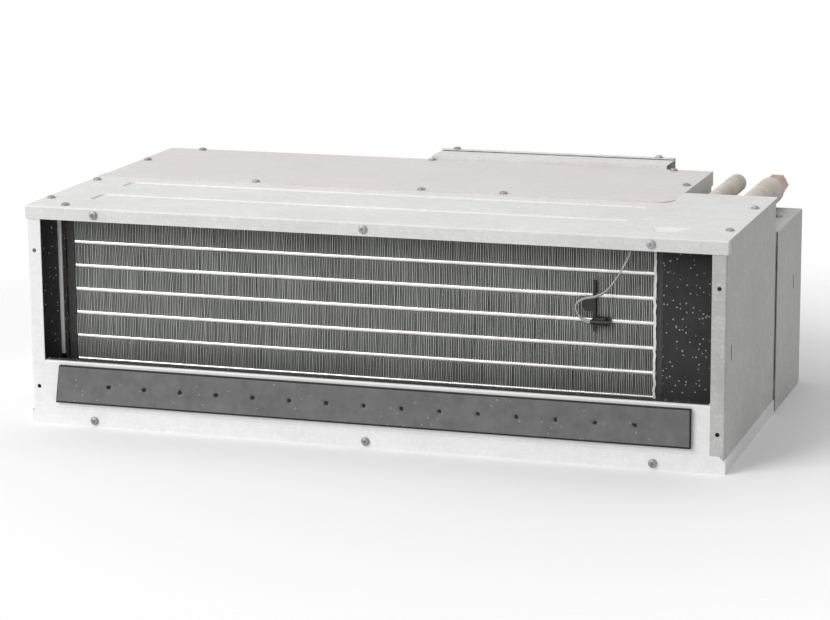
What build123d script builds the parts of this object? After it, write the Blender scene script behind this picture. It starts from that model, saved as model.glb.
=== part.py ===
from build123d import *
import math
import os

os.makedirs("parts", exist_ok=True)

# Concealed duct indoor unit. Casing frame: X from the middle of the casing, positive to the pipe side,
# Y from the front flange face to the rear, Z up from the underside of the bottom tray. Millimetres.

# Casing
casing_width = 750.0
casing_height = 235.0
front_depth = 255.0
rear_depth = 400.0
bay_width = 100.0
sheet = 1.0
bend = 2.0

# Front flanges
tray_flange = 18.0
top_flange = 14.0
side_flange = 15.0
corner_tab = 13.0
plate_top = 69.0
plate_lip = 12.0
inner_flange = 12.0
tray_side_lip = 15.0

# Top sheets
rear_sheet_front = 188.0
front_sheet_rear = 206.0
joggle_run = 4.0
rear_sheet_corner = 22.0
rear_skirt = 16.0
groove_depth = 1.5
groove_left_gap = 50.0
groove_right_gap = 20.0
front_groove_y = 69.0
front_groove_width = 36.0
rear_groove_y = 150.0
rear_groove_width = 30.0
pocket_gap = 30.0
pocket_y = 45.0
pocket_rear_width = 40.0
pocket_front_width = 22.0
pocket_length = 26.0

# Foam strip on the front plate, and foam beside the coil
strip_thickness = 5.0
strip_left_gap = 29.0
strip_right_gap = 36.0
strip_bottom = 24.5
strip_height = 40.5
strip_slant = 5.0
blank_front = 31.0
blank_foam = 4.0
blank_gap = 4.0

# Coil
tube_pitch = 25.4
column_pitch = 22.0
tube_margin = 5.0
tube_radius = 3.5
tube_sides = 6
bend_runs = 4
round_sides = 20
fin_front = 35.0
first_tube_z = 38.7
coil_room = 30.0
coil_left_gap = 39.0
coil_right_gap = 21.0
end_plate = 1.2
end_flange = 9.0

# Refrigerant pipes
header_radius = 8.0
header_gap = 53.0
header_cap = 5.6
header_rise = 19.0
gas_radius = 4.76
pipe_spacing = 37.5
gas_depth = 21.0
liquid_depth = 14.0
gas_sleeve_radius = 15.0
liquid_radius = 3.18
liquid_gap = 25.0
liquid_sleeve_radius = 10.25
sleeve_end = 413.0
sleeve_start = 240.0
sleeve_play = 0.3
nut_play = 0.06
gas_nut_flats = 22.0
gas_nut_length = 26.0
gas_thread_radius = 7.9
union_hex_length = 14.0
union_tip_length = 14.0
union_bore = 3.6
liquid_nut_flats = 14.0
liquid_nut_length = 16.0
distributor_radius = 7.0
distributor_length = 20.0
capillary_radius = 1.3

# Drain pan
pan_wall = 6.0
pan_floor = 5.0
pan_front_height = 60.0
pan_rear = 128.0
socket_radius = 13.0
socket_bore = 10.5
socket_reach = 22.0
socket_y = 104.0
socket_z = 24.0

# Fan
deck_y = 170.0
axis_y = 285.0
blade_depth = 12.0
blade_thickness = 1.2
blade_lead = 7.0
blade_count = 20
wheel_width = 150.0
fan_spacing = 330.0
fan_floor_gap = 10.0
scroll_depth = 32.0
inlet_step = 12.0
wheel_ring = 3.0
hub_radius = 12.0
hub_length = 24.0
hub_fit = 0.02
shaft_radius = 4.0
bearing_play = 0.05
motor_radius = 44.0
motor_length = 84.0
motor_shoulder = 10.0
motor_taper = 40.0
boss_radius = 17.0
boss_length = 13.0
ring_wall = 6.0
cradle_sheet = 2.0
clamp_ear = 13.0
housing_wall = 2.0
housing_side_gap = 4.0
tongue_gap = 7.0
tongue_angle = 150.0
scroll_steps = 16
inlet_lip = 5.0

# Rear panel
intake_width = 540.0
intake_height = 150.0
intake_lip = 8.0
hole_radius = 2.25
duct_hole_edge = 8.5
duct_hole_depth = 48.0
intake_edge = 25.0
intake_rise = 15.0
duct_hole_low = 40.0

# Control box
box_gap = 7.0
box_sleeve_gap = 2.0
box_depth = 141.0
cover_flange = 30.0
bush_radius = 11.0
bush_bore = 7.0
board_thickness = 1.6
standoff = 10.0

# Wiring duct behind the rear panel
duct_depth = 45.0
duct_rise = 4.0
duct_drop = 30.0
duct_gap = 53.0
duct_length = 275.0
duct_strip = 9.0

# Screws
screw_flats = 7.0
screw_head = 2.6
shank_radius = 1.9
shank_play = 0.15
shank_length = 4.0
shank_sides = 6

# Coil sensor
sensor_gap = 42.0
sensor_depth = 95.0
sensor_radius = 2.6
sensor_length = 20.0
lead_radius = 1.6
lead_sides = 5
clip_length = 8.0
clip_thickness = 3.0
clip_gap = 1.0
clip_y = 20.0

half_width = casing_width / 2
bay_x = half_width - bay_width
skin = half_width - sheet
top_inside = casing_height - sheet
wall_top = top_inside - bend + sheet
wall_bottom = sheet + bend - sheet
tube_rows = int((casing_height - coil_room) / tube_pitch)
fin_bottom = first_tube_z - 0.75 * tube_pitch
fin_top = fin_bottom + tube_rows * tube_pitch
fin_rear = fin_front + column_pitch + 2 * tube_margin
fin_left = coil_left_gap - half_width
fin_right = bay_x + coil_right_gap
blank_left_width = coil_left_gap - 2 * sheet - end_flange - blank_gap
blank_right_width = bay_width - coil_right_gap - 2 * sheet - blank_gap
groove_left = groove_left_gap - half_width
groove_right = bay_x - groove_right_gap
pocket_x = bay_x + pocket_gap
strip_left = strip_left_gap - half_width
strip_right = half_width - strip_right_gap
duct_hole_x = half_width - duct_hole_edge
duct_hole_high = casing_height - duct_hole_depth

header_x = bay_x + header_gap
header_top = first_tube_z + (2 * ((tube_rows - 1) // 2) - 0.5) * tube_pitch + header_cap
gas_rise_z = header_top + header_rise
gas_x = half_width - pipe_spacing
gas_z = casing_height - gas_depth
liquid_x = bay_x + liquid_gap
liquid_z = casing_height - liquid_depth

motor_x = -bay_width / 2
fan_offset = fan_spacing / 2
axis_z = casing_height / 2 + 0.5
outlet_radius = axis_z - fan_floor_gap
wheel_radius = outlet_radius - scroll_depth
inlet_radius = wheel_radius - inlet_step
rear_hole_x = intake_width / 2 + intake_edge
rear_hole_z = intake_height / 2 + intake_rise

box_front = front_depth + box_gap
box_height = gas_z - gas_sleeve_radius - box_sleeve_gap
duct_right = bay_x - duct_gap
duct_left = duct_right - duct_length
duct_bottom = casing_height - duct_drop
sensor_x = bay_x - sensor_gap
sensor_z = casing_height - sensor_depth
box_rear = box_front + box_depth

nodes = {}


def block(x0, x1, y0, y1, z0, z1):
    """Solid between two corners."""
    return Pos((x0 + x1) / 2, (y0 + y1) / 2, (z0 + z1) / 2) * Box(x1 - x0, y1 - y0, z1 - z0)


def along_x(face, x0, x1):
    """Extrudes a (Y, Z) outline from x0 to x1."""
    return Pos(x0, 0, 0) * extrude(Plane.YZ * face, amount=x1 - x0)


def along_y(face, y0, y1):
    """Extrudes an (X, Z) outline from y0 to y1."""
    return Pos(0, y1, 0) * extrude(Plane.XZ * face, amount=y1 - y0)


def along_z(face, z0, z1):
    """Extrudes an (X, Y) outline from z0 to z1."""
    return Pos(0, 0, z0) * extrude(face, amount=z1 - z0)


def many_sided(radius):
    """Round outline drawn with flat sides, its corners on the radius."""
    return RegularPolygon(radius, round_sides)


def many_sided_hole(radius):
    """Round hole drawn with flat sides that touch the radius, so that a round bar of that radius passes."""
    return RegularPolygon(radius, round_sides, major_radius=False)


def rod_x(x0, x1, y, z, radius, outline=Circle):
    """Round bar along X."""
    return along_x(Pos(y, z) * outline(radius), x0, x1)


def rod_y(y0, y1, x, z, radius, outline=Circle):
    """Round bar along Y."""
    return along_y(Pos(x, z) * outline(radius), y0, y1)


def rod_z(z0, z1, x, y, radius, outline=Circle):
    """Round bar along Z."""
    return along_z(Pos(x, y) * outline(radius), z0, z1)


def folded(path, thickness=sheet, radius=bend):
    """Outline of sheet metal folded along a path on its right-hand skin, its bends rounded unless radius is 0."""
    count = len(path)
    inner = []
    for i, (u, v) in enumerate(path):
        before = path[max(i - 1, 0)]
        here = path[i]
        after = path[min(i + 1, count - 1)]
        first = (here[0] - before[0], here[1] - before[1]) if i else (after[0] - here[0], after[1] - here[1])
        last = (after[0] - here[0], after[1] - here[1]) if i < count - 1 else first
        first_size = math.hypot(*first)
        last_size = math.hypot(*last)
        n0 = (-first[1] / first_size, first[0] / first_size)
        n1 = (-last[1] / last_size, last[0] / last_size)
        share = thickness / (1 + n0[0] * n1[0] + n0[1] * n1[1])
        inner.append((u + share * (n0[0] + n1[0]), v + share * (n0[1] + n1[1])))
    face = make_face(Polyline(*path, *reversed(inner), close=True))
    for i in range(1, count - 1 if radius else 1):
        a = (path[i][0] - path[i - 1][0], path[i][1] - path[i - 1][1])
        b = (path[i + 1][0] - path[i][0], path[i + 1][1] - path[i][1])
        left_turn = a[0] * b[1] - a[1] * b[0] > 0
        outside, inside = (path[i], inner[i]) if left_turn else (inner[i], path[i])
        for point, size in ((outside, radius), (inside, radius - thickness)):
            corner = face.vertices().sort_by_distance(Vector(point[0], point[1], 0))[0]
            face = fillet(corner, size)
    return face


def bent_bar(points, radius, sides):
    """Flat-sided bar along straight runs, mitred where they meet; its first run lies along X or Z."""
    places = [Vector(*point) for point in points]
    runs = [(after - before).normalized() for before, after in zip(places, places[1:])]
    start = Plane(origin=places[0], x_dir=(0, 1, 0), z_dir=runs[0])
    turns = [2 * math.pi * k / sides for k in range(sides)]
    rings = [[start.from_local_coords(Vector(radius * math.cos(t), radius * math.sin(t), 0)) for t in turns]]
    for i, run in enumerate(runs):
        mitre = run + runs[i + 1] if i + 1 < len(runs) else run
        rings.append([p + run * ((places[i + 1] - p).dot(mitre) / run.dot(mitre)) for p in rings[-1]])
    faces = [Face(Wire.make_polygon(ring)) for ring in (rings[0], rings[-1])]
    for near, far in zip(rings, rings[1:]):
        for k in range(sides):
            after = (k + 1) % sides
            faces.append(Face(Wire.make_polygon([near[k], near[after], far[after], far[k]])))
    return Solid(Shell(faces))


def pipe(points, radii, radius, sides):
    """Bar along straight runs with each corner eased by two chords of an arc of its own radius."""
    eased = [Vector(*points[0])]
    for before, here, after, bend_radius in zip(points, points[1:], points[2:], radii):
        corner = Vector(*here)
        back = (Vector(*before) - corner).normalized()
        ahead = (Vector(*after) - corner).normalized()
        half_turn = math.radians(180 - back.get_angle(ahead)) / 2
        reach = bend_radius * math.tan(half_turn)
        inset = bend_radius / math.cos(half_turn) - bend_radius
        eased += [corner + back * reach, corner + (back + ahead).normalized() * inset, corner + ahead * reach]
    eased.append(Vector(*points[-1]))
    return bent_bar(eased, radius, sides)


def tube_bar(x0, x1, y, z, radius):
    """Straight coil tube along X, with as few flat sides as its bends."""
    return along_x(Pos(y, z) * RegularPolygon(radius, tube_sides), x0, x1)


def cord(points, radius):
    """Wire along a route, each corner rounded as far as its runs allow."""
    radii = []
    for a, b, c in zip(points, points[1:], points[2:]):
        first = Vector(*b) - Vector(*a)
        last = Vector(*c) - Vector(*b)
        half_turn = math.radians(first.get_angle(last)) / 2
        radii.append(0.45 * min(first.length, last.length) / math.tan(half_turn))
    path = FilletPolyline(*points, radius=radii)
    print("lead length", round(path.length, 1), "radii", [round(r, 1) for r in radii])
    start = Plane(origin=path @ 0, z_dir=path % 0)
    section = RegularPolygon(radius, lead_sides)
    tube = sweep(start * section, path=path)
    print("volume share", round(tube.volume / (section.area * path.length), 4))
    return tube


def add(name, *solids):
    """Keeps one piece, or one group of like pieces, under its name."""
    nodes[name] = list(solids)


def drill(names, cutter):
    """Cuts one hole through each named piece that it meets."""
    for name in names:
        nodes[name] = [solid - cutter for solid in nodes[name]]


def bottom_tray():
    """Floor of the casing with turned-up edges, cut away at the pipe-side rear corner."""
    floor = Polyline(
        (-skin, sheet), (skin, sheet), (skin, front_depth - sheet), (bay_x - sheet, front_depth - sheet),
        (bay_x - sheet, rear_depth - sheet), (-skin, rear_depth - sheet), close=True)
    tray = along_z(make_face(floor), 0, sheet)
    front = Polyline((-half_width, 0), (half_width, 0), (half_width, tray_flange - 6),
                     (half_width - 6, tray_flange), (6 - half_width, tray_flange),
                     (-half_width, tray_flange - 6), close=True)
    tray += along_y(make_face(front), 0, sheet)
    tray += block(-half_width, -skin, 0, rear_depth, 0, tray_side_lip)
    tray += block(skin, half_width, 0, front_depth, 0, tray_side_lip)
    tray += block(-skin, bay_x, rear_depth - sheet, rear_depth, 0, tray_side_lip)
    tray += block(bay_x - sheet, bay_x, front_depth, rear_depth, 0, tray_side_lip)
    tray += block(bay_x - sheet, half_width, front_depth - sheet, front_depth, 0, tray_side_lip)
    return tray


def side_wall(depth, front_layer, rear_layer):
    """Side wall seen from above as a channel, opening inwards to the left of its path."""
    inner = skin - side_flange
    channel = folded([(inner, front_layer), (skin, front_layer), (skin, depth - rear_layer),
                      (skin - inner_flange, depth - rear_layer)])
    wall = along_z(channel, wall_bottom, wall_top)
    shelf = folded([(skin, wall_top - 20), (skin, top_inside), (skin - inner_flange, top_inside)], sheet, 0)
    return wall + along_y(shelf, 20, depth - 20)


def left_side_panel():
    """Left wall, the mirror of a long side wall."""
    return mirror(side_wall(rear_depth, sheet, 2 * sheet), about=Plane.YZ)


def right_side_panel():
    """Right wall, as deep as the front section, with a slot near its front edge."""
    return side_wall(front_depth, sheet, 2 * sheet) - wall_slot(28, 118)


def rear_section_side_panel():
    """Wall between the fan chamber and the control box."""
    face = bay_x - sheet
    web = folded([(face - inner_flange, deck_y + sheet), (face, deck_y + sheet), (face, rear_depth - 2 * sheet),
                  (face - inner_flange, rear_depth - 2 * sheet)])
    wall = along_z(web, wall_bottom, wall_top)
    shelf = folded([(face, wall_top - 20), (face, top_inside), (face - inner_flange, top_inside)], sheet, 0)
    return wall + along_y(shelf, front_depth + 20, rear_depth - 20)


def pipe_plate():
    """Rear wall of the pipe bay, holding the two pipes."""
    outer = front_depth - sheet
    plate = block(bay_x - sheet, skin - sheet, outer - sheet, outer, wall_bottom, wall_top)
    shelf = folded([(outer, wall_top - 12), (outer, top_inside), (outer - inner_flange, top_inside)], sheet, 0)
    plate += along_x(shelf, bay_x + 8, skin - inner_flange - 6)
    plate -= rod_y(outer - 2 * sheet, outer + sheet, gas_x, gas_z, gas_sleeve_radius + sleeve_play, many_sided_hole)
    return plate - rod_y(outer - 2 * sheet, outer + sheet, liquid_x, liquid_z,
                         liquid_sleeve_radius + sleeve_play, many_sided_hole)


def rear_panel():
    """Rear wall with the return-air opening, its lip turned forwards."""
    face = rear_depth - sheet
    left = -skin + sheet
    right = bay_x - 2 * sheet
    plate = block(left, right, face - sheet, face, wall_bottom, wall_top)
    shelf = folded([(face, wall_top - 12), (face, top_inside), (face - inner_flange, top_inside)])
    plate += along_x(shelf, left + 22, right - 22)
    opening = Pos(motor_x, axis_z) * Rectangle(intake_width, intake_height)
    lip = Pos(motor_x, axis_z) * Rectangle(intake_width + 2 * sheet, intake_height + 2 * sheet)
    plate += along_y(lip, face - intake_lip, face - sheet)
    plate -= along_y(opening, face - 2 * intake_lip, face + sheet)
    for side in (-1, 1):
        for level in (-1, 1):
            hole = rod_y(face - 2 * sheet, face + sheet, motor_x + side * rear_hole_x,
                         axis_z + level * rear_hole_z, hole_radius)
            plate -= hole
    return plate


def pressed_groove(y, width):
    """A shallow groove pressed down into the top sheet: what it adds below, and what it takes away above."""
    length = groove_right - groove_left
    x = (groove_left + groove_right) / 2
    outline = Pos(x, y) * Rectangle(length, width)
    outline = chamfer(outline.vertices(), 4)
    upper = Pos(0, 0, casing_height) * extrude(outline, amount=-groove_depth, taper=40)
    lower = Pos(0, 0, top_inside) * extrude(outline, amount=-groove_depth, taper=40)
    return lower, upper


def top_front_panel():
    """Top sheet of the front section, with a front flange, corner tabs, grooves and a pressed pocket."""
    top = folded([(0, casing_height - top_flange), (0, casing_height), (front_sheet_rear, casing_height)][::-1])
    panel = along_x(top, -half_width, half_width)
    panel += block(bay_x, half_width, front_sheet_rear, front_depth, top_inside, casing_height)
    for side in (-1, 1):
        tab = block(skin, half_width, sheet, corner_tab, casing_height - top_flange, top_inside)
        panel += tab if side > 0 else mirror(tab, about=Plane.YZ)
    for y, width in ((front_groove_y, front_groove_width), (rear_groove_y, rear_groove_width)):
        lower, upper = pressed_groove(y, width)
        panel += lower
        panel -= upper
    front_y = pocket_y - pocket_length / 2
    rear_y = pocket_y + pocket_length / 2
    trapezoid = Polyline((pocket_x - pocket_front_width / 2, front_y), (pocket_x + pocket_front_width / 2, front_y),
                         (pocket_x + pocket_rear_width / 2, rear_y), (pocket_x - pocket_rear_width / 2, rear_y),
                         close=True)
    outline = make_face(trapezoid)
    panel += Pos(0, 0, top_inside) * extrude(outline, amount=-groove_depth, taper=30)
    return panel - Pos(0, 0, casing_height) * extrude(outline, amount=-groove_depth, taper=30)


def top_rear_panel():
    """Top sheet of the rear section, lapped over the front sheet, with skirts at the rear and right."""
    step = front_sheet_rear + joggle_run
    above = casing_height + sheet
    flat = folded([(rear_depth, casing_height - rear_skirt), (rear_depth, casing_height), (step, casing_height)])
    panel = along_x(flat, -half_width, bay_x)
    lap = make_face(Polyline(
        (step, top_inside), (step, casing_height), (step - joggle_run + 1, above), (rear_sheet_front, above),
        (rear_sheet_front, casing_height), (front_sheet_rear, casing_height), (front_sheet_rear + 0.4, top_inside),
        close=True))
    panel += along_x(lap, -half_width, bay_x)
    keep = make_face(Polyline(
        (-half_width, rear_sheet_front - 1), (bay_x + 1, rear_sheet_front - 1), (bay_x + 1, rear_depth + 1),
        (-half_width, rear_depth + 1), close=True))
    front_corner = keep.vertices().sort_by_distance(Vector(bay_x + 1, rear_sheet_front - 1, 0))[0]
    keep = fillet(front_corner, rear_sheet_corner)
    panel = panel & along_z(keep, 0, above + sheet)
    panel += block(bay_x - sheet, bay_x, front_depth, rear_depth, casing_height - rear_skirt, casing_height - sheet)
    return panel


def front_lower_plate():
    """Plate below the coil, between the side flanges, its top edge turned back as a lip."""
    inner = skin - side_flange
    outline = folded([(sheet + plate_lip, plate_top), (sheet, plate_top), (sheet, 2 * sheet)])
    return along_x(outline, -inner, inner)


def front_foam_strip():
    """Foam strip on the lower plate, with hand-cut slanted ends."""
    top = strip_bottom + strip_height
    outline = make_face(Polyline((strip_left, strip_bottom), (strip_right, strip_bottom),
                                 (strip_right + 1.5, top), (strip_left + strip_slant, top), close=True))
    return along_y(outline, sheet - strip_thickness, sheet)


def blanking(width):
    """Plate that closes the gap beside the coil at the right-hand wall, with its foam facing."""
    wall = skin - sheet
    edge = wall - width
    bracket = folded([(edge, fin_front - 0.5), (edge, blank_front), (wall, blank_front), (wall, blank_front + 20)])
    plate = along_z(bracket, plate_top + 1, casing_height - top_flange - 4)
    foam = block(edge + 4, wall, blank_front - blank_foam, blank_front, plate_top + 1, casing_height - top_flange - 4)
    return plate, foam


def coil_fins():
    """Fin pack with holes for two staggered columns of tubes."""
    pack = block(fin_left, fin_right, fin_front, fin_rear, fin_bottom, fin_top)
    for y, z in tube_places():
        pack -= tube_bar(fin_left - 1, fin_right + 1, y, z, tube_radius)
    return pack


def column_y(column):
    """Y of a column of tubes, the front one first."""
    return fin_front + tube_margin + column * column_pitch


def tube_places():
    """Y and Z of each tube: the front column first, then the rear one, half a pitch lower."""
    places = []
    for column in (0, 1):
        for row in range(tube_rows):
            places.append((column_y(column), first_tube_z + (row - 0.5 * column) * tube_pitch))
    return places


def coil_end_plate():
    """End plate at the right of the coil, a channel with its flanges turned outwards."""
    outline = folded([(fin_right + end_flange, fin_front), (fin_right, fin_front), (fin_right, fin_rear),
                      (fin_right + end_flange, fin_rear)][::-1], end_plate, end_plate + 0.6)
    plate = along_z(outline, fin_bottom, fin_top)
    for y, z in tube_places():
        plate -= tube_bar(fin_right - 1, fin_right + 3, y, z, tube_radius)
    return plate


def u_bend(x, first, second, outwards):
    """Half turn that joins two tube ends, as a row of short straight runs."""
    dy = (second[0] - first[0]) / 2
    dz = (second[1] - first[1]) / 2
    reach = math.hypot(dy, dz)
    stub = 1.0
    route = [(x, *first)]
    for i in range(bend_runs + 1):
        angle = math.pi * i / bend_runs
        across = 1 - math.cos(angle)
        rise = stub + reach * math.sin(angle)
        route.append((x + outwards * rise, first[0] + dy * across, first[1] + dz * across))
    route.append((x, *second))
    return bent_bar(route, tube_radius, tube_sides)


def gas_header():
    """Vertical header with a stub from each gas-side tube of the rear column."""
    y = column_y(1)
    header = rod_z(fin_bottom + 2, header_top, header_x, y, header_radius, many_sided)
    for row in range(0, tube_rows, 2):
        z = first_tube_z + (row - 0.5) * tube_pitch
        header += tube_bar(fin_right + end_plate, header_x, y, z, tube_radius)
    return header


def gas_pipe():
    """Gas pipe from the header top, back through the pipe plate, with its flared end."""
    y = column_y(1)
    points = [(header_x, y, header_top), (header_x, y, gas_rise_z), (header_x, y + 66, gas_rise_z),
              (gas_x, y + 110, gas_z), (gas_x, gas_nut_seat(), gas_z)]
    return pipe(points, [15, 40, 40], gas_radius, tube_sides) + flare(gas_x, gas_z, gas_nut_seat(), gas_radius)


def gas_nut_seat():
    """Y of the flare's start inside the gas nut."""
    return sleeve_end + 0.5 * gas_nut_length


def liquid_nut_seat():
    """Y of the flare's start inside the liquid nut."""
    return sleeve_end - 0.5 * liquid_nut_length


def flare(x, z, y, radius):
    """Flared end of a pipe, opening rearwards."""
    return Pos(x, y + 0.2 * radius, z) * Rot(-90, 0, 0) * Cone(radius, 1.4 * radius, 0.4 * radius)


def flare_nut(x, z, y0, y1, flats, radius, seat, thread):
    """Hexagon nut around a flared pipe, with a round threaded mouth at its rear face."""
    bore = radius + nut_play
    hexagon = Pos(x, z) * RegularPolygon(flats / 2, 6, major_radius=False)
    nut = along_y(hexagon, y0, y1)
    nut -= rod_y(y0 - 1, seat + 0.2, x, z, bore, many_sided_hole)
    mouth = 1.4 * radius + 2 * nut_play
    if thread > mouth:
        return nut - rod_y(seat - 0.3, y1 + 1, x, z, thread + nut_play, many_sided_hole)
    past_flare = seat + 0.4 * radius + 0.3
    nut -= rod_y(seat - 0.3, past_flare, x, z, mouth, many_sided_hole)
    return nut - rod_y(past_flare, y1 + 1, x, z, mouth)


def gas_union():
    """Union screwed into the gas nut: a hexagon with a threaded end at each side."""
    nut_end = sleeve_end + 0.3 + gas_nut_length
    hex_end = nut_end + 0.3 + union_hex_length
    hexagon = Pos(gas_x, gas_z) * RegularPolygon(gas_nut_flats / 2, 6, major_radius=False)
    union = along_y(hexagon, nut_end + 0.3, hex_end)
    union += rod_y(gas_nut_seat() + 0.4 * gas_radius + 0.3, nut_end + 1, gas_x, gas_z, gas_thread_radius, many_sided)
    union += rod_y(hex_end, hex_end + union_tip_length, gas_x, gas_z, gas_thread_radius)
    return union - rod_y(sleeve_end, hex_end + union_tip_length + 1, gas_x, gas_z, union_bore, many_sided)


def liquid_distributor():
    """Distributor body with a capillary to each liquid-side tube of the front column."""
    y = column_y(0)
    z = first_tube_z + 0.5 * (tube_rows - 1) * tube_pitch
    start = fin_right + 34
    solids = [rod_x(start, start + distributor_length, y, z, distributor_radius, many_sided)]
    for i, row in enumerate(range(0, tube_rows, 2)):
        tube_z = first_tube_z + row * tube_pitch
        lift = (i - 1.5) * 3.2
        points = [(start, y, z + lift), (start - 8, y, z + lift),
                  (fin_right + 11, y, tube_z), (fin_right + end_plate, y, tube_z)]
        solids.append(pipe(points, [5, 5], capillary_radius, lead_sides))
    return solids


def liquid_pipe():
    """Liquid pipe from the distributor, back through the pipe plate, with its flared end."""
    y = column_y(0)
    z = first_tube_z + 0.5 * (tube_rows - 1) * tube_pitch
    start = fin_right + 34 + distributor_length
    outer = start + 12
    points = [(start, y, z), (outer, y, z), (outer, y, z + 75), (outer, y + 45, liquid_z), (liquid_x, y + 100, liquid_z),
              (liquid_x, liquid_nut_seat(), liquid_z)]
    return pipe(points, [9, 16, 24, 24], liquid_radius, tube_sides) + flare(liquid_x, liquid_z, liquid_nut_seat(), liquid_radius)


def pipe_sleeve(x, z, radius, core, end):
    """Insulating sleeve along a pipe, through the pipe plate."""
    sleeve = rod_y(sleeve_start, end, x, z, radius, many_sided)
    return sleeve - rod_y(sleeve_start - 1, end + 1, x, z, core + sleeve_play, many_sided_hole)


def liquid_sleeve():
    """Sleeve of the liquid pipe, pulled over its nut."""
    sleeve = pipe_sleeve(liquid_x, liquid_z, liquid_sleeve_radius, liquid_radius, sleeve_end)
    pocket = liquid_nut_flats / math.sqrt(3) + sleeve_play
    return sleeve - rod_y(sleeve_end - liquid_nut_length, sleeve_end + 1, liquid_x, liquid_z, pocket, many_sided_hole)


def drain_pan():
    """Pan under the coil with its floor, walls and the ribs that the coil stands on."""
    left = -skin + sheet + 6
    right = skin - sheet - 1
    front = shank_length + 0.5
    outline = make_face(Polyline(
        (front, wall_bottom), (pan_rear, wall_bottom), (pan_rear, pan_front_height - 22),
        (pan_rear - pan_wall, pan_front_height - 22), (pan_rear - pan_wall - 2, wall_bottom + pan_floor),
        (front + pan_wall + 2, wall_bottom + pan_floor), (front + pan_wall, pan_front_height),
        (front, pan_front_height), close=True))
    pan = along_x(outline, left, right)
    for side in (left, right - pan_wall):
        pan += block(side, side + pan_wall, front, pan_rear, wall_bottom, pan_front_height - 22)
    for i in range(4):
        x = fin_left + 60 + i * (fin_right - fin_left - 120) / 3
        pan += block(x - 4, x + 4, fin_front - 4, fin_rear + 4, wall_bottom + pan_floor, fin_bottom)
    return pan - rod_x(left - 1, left + pan_wall + 1, socket_y, socket_z, socket_radius + 0.1, many_sided_hole)


def drain_socket():
    """Drain socket through the left wall, with its collar."""
    inner = -skin + sheet + 6
    tube = rod_x(-half_width - socket_reach, -half_width - 0.5, socket_y, socket_z, socket_radius)
    tube += rod_x(-half_width - 0.5, inner + pan_wall, socket_y, socket_z, socket_radius, many_sided)
    tube += rod_x(-skin + sheet + 0.2, inner - 0.2, socket_y, socket_z, socket_radius + 4, many_sided)
    return tube - rod_x(-half_width - socket_reach - 1, inner + pan_wall + 1, socket_y, socket_z, socket_bore, many_sided)


def pipe_bay_partition():
    """Wall between the coil chamber and the pipe bay, with a foot behind the drain pan."""
    x = fin_right - 5
    outline = make_face(Polyline(
        (fin_rear + 1, pan_front_height), (pan_rear + 1, pan_front_height), (pan_rear + 1, 2 * sheet),
        (deck_y - sheet, 2 * sheet), (deck_y - sheet, top_inside - 2 * sheet), (fin_rear + 1, top_inside - 2 * sheet),
        close=True))
    return along_x(outline, x, x + sheet)


def fan_deck():
    """Upright plate that carries the fan housings, with one outlet opening for each and a foot on the tray."""
    left = -skin + sheet
    right = fin_right - 5 + sheet
    top = top_inside - 2 * sheet
    outline = folded([(deck_y, top), (deck_y, sheet), (deck_y - inner_flange, sheet)][::-1])
    deck = along_x(outline, left, right - 2 * sheet)
    deck += block(right - 2 * sheet, right, deck_y - sheet, deck_y, 3 * sheet, top)
    low, high = outlet_span()
    for side in (-1, 1):
        x = motor_x + side * fan_offset
        deck -= block(x - housing_inside() / 2, x + housing_inside() / 2, deck_y - 2, deck_y + 1, low, high)
    return deck


def housing_inside():
    """Width inside a fan housing."""
    return wheel_width + 2 * housing_side_gap


def outlet_span():
    """Lowest and highest Z of a housing's outlet inside its walls."""
    angle = math.radians(tongue_angle)
    return axis_z + (wheel_radius + tongue_gap) * math.sin(angle) - 4, axis_z + outlet_radius


def scroll_outline(offset):
    """Outline of the scroll in (Y, Z), moved outwards by an offset, with its outlet towards the coil."""
    start = wheel_radius + tongue_gap
    points = []
    for i in range(scroll_steps + 1):
        angle = math.radians(tongue_angle + i * (450 - tongue_angle) / scroll_steps)
        radius = start + (outlet_radius - start) * i / scroll_steps + offset
        points.append((axis_y + radius * math.cos(angle), axis_z + radius * math.sin(angle)))
    low = outlet_span()[0]
    outlet = [(deck_y, points[-1][1]), (deck_y, low - offset)]
    return make_face(Polyline(*points, *outlet, close=True))


def fan_housing(x):
    """Scroll housing with an inlet at each side, as its upper and lower halves."""
    half = housing_inside() / 2
    shell = along_x(scroll_outline(housing_wall), x - half - housing_wall, x + half + housing_wall)
    shell -= along_x(scroll_outline(0), x - half, x + half)
    shell -= block(x - half, x + half, deck_y - 1, deck_y + 6, *outlet_span())
    shell -= rod_x(x - half - 20, x + half + 20, axis_y, axis_z, inlet_radius, many_sided)
    for side in (-1, 1):
        face = x + side * (half + housing_wall)
        ring = rod_x(min(face, face + side * inlet_lip), max(face, face + side * inlet_lip), axis_y, axis_z,
                     inlet_radius + housing_wall, many_sided)
        shell += ring - rod_x(face - inlet_lip - 1, face + inlet_lip + 1, axis_y, axis_z, inlet_radius, many_sided)
    low, high = outlet_span()
    flange = block(x - half - 8, x + half + 8, deck_y, deck_y + housing_wall, low - 6, high + 5)
    flange -= block(x - half, x + half, deck_y - 1, deck_y + 5, low, high)
    above = block(x - 2 * half, x + 2 * half, 0, rear_depth, axis_z, casing_height)
    below = block(x - 2 * half, x + 2 * half, 0, rear_depth, 0, axis_z)
    return (shell + flange) & above, shell & below


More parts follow.
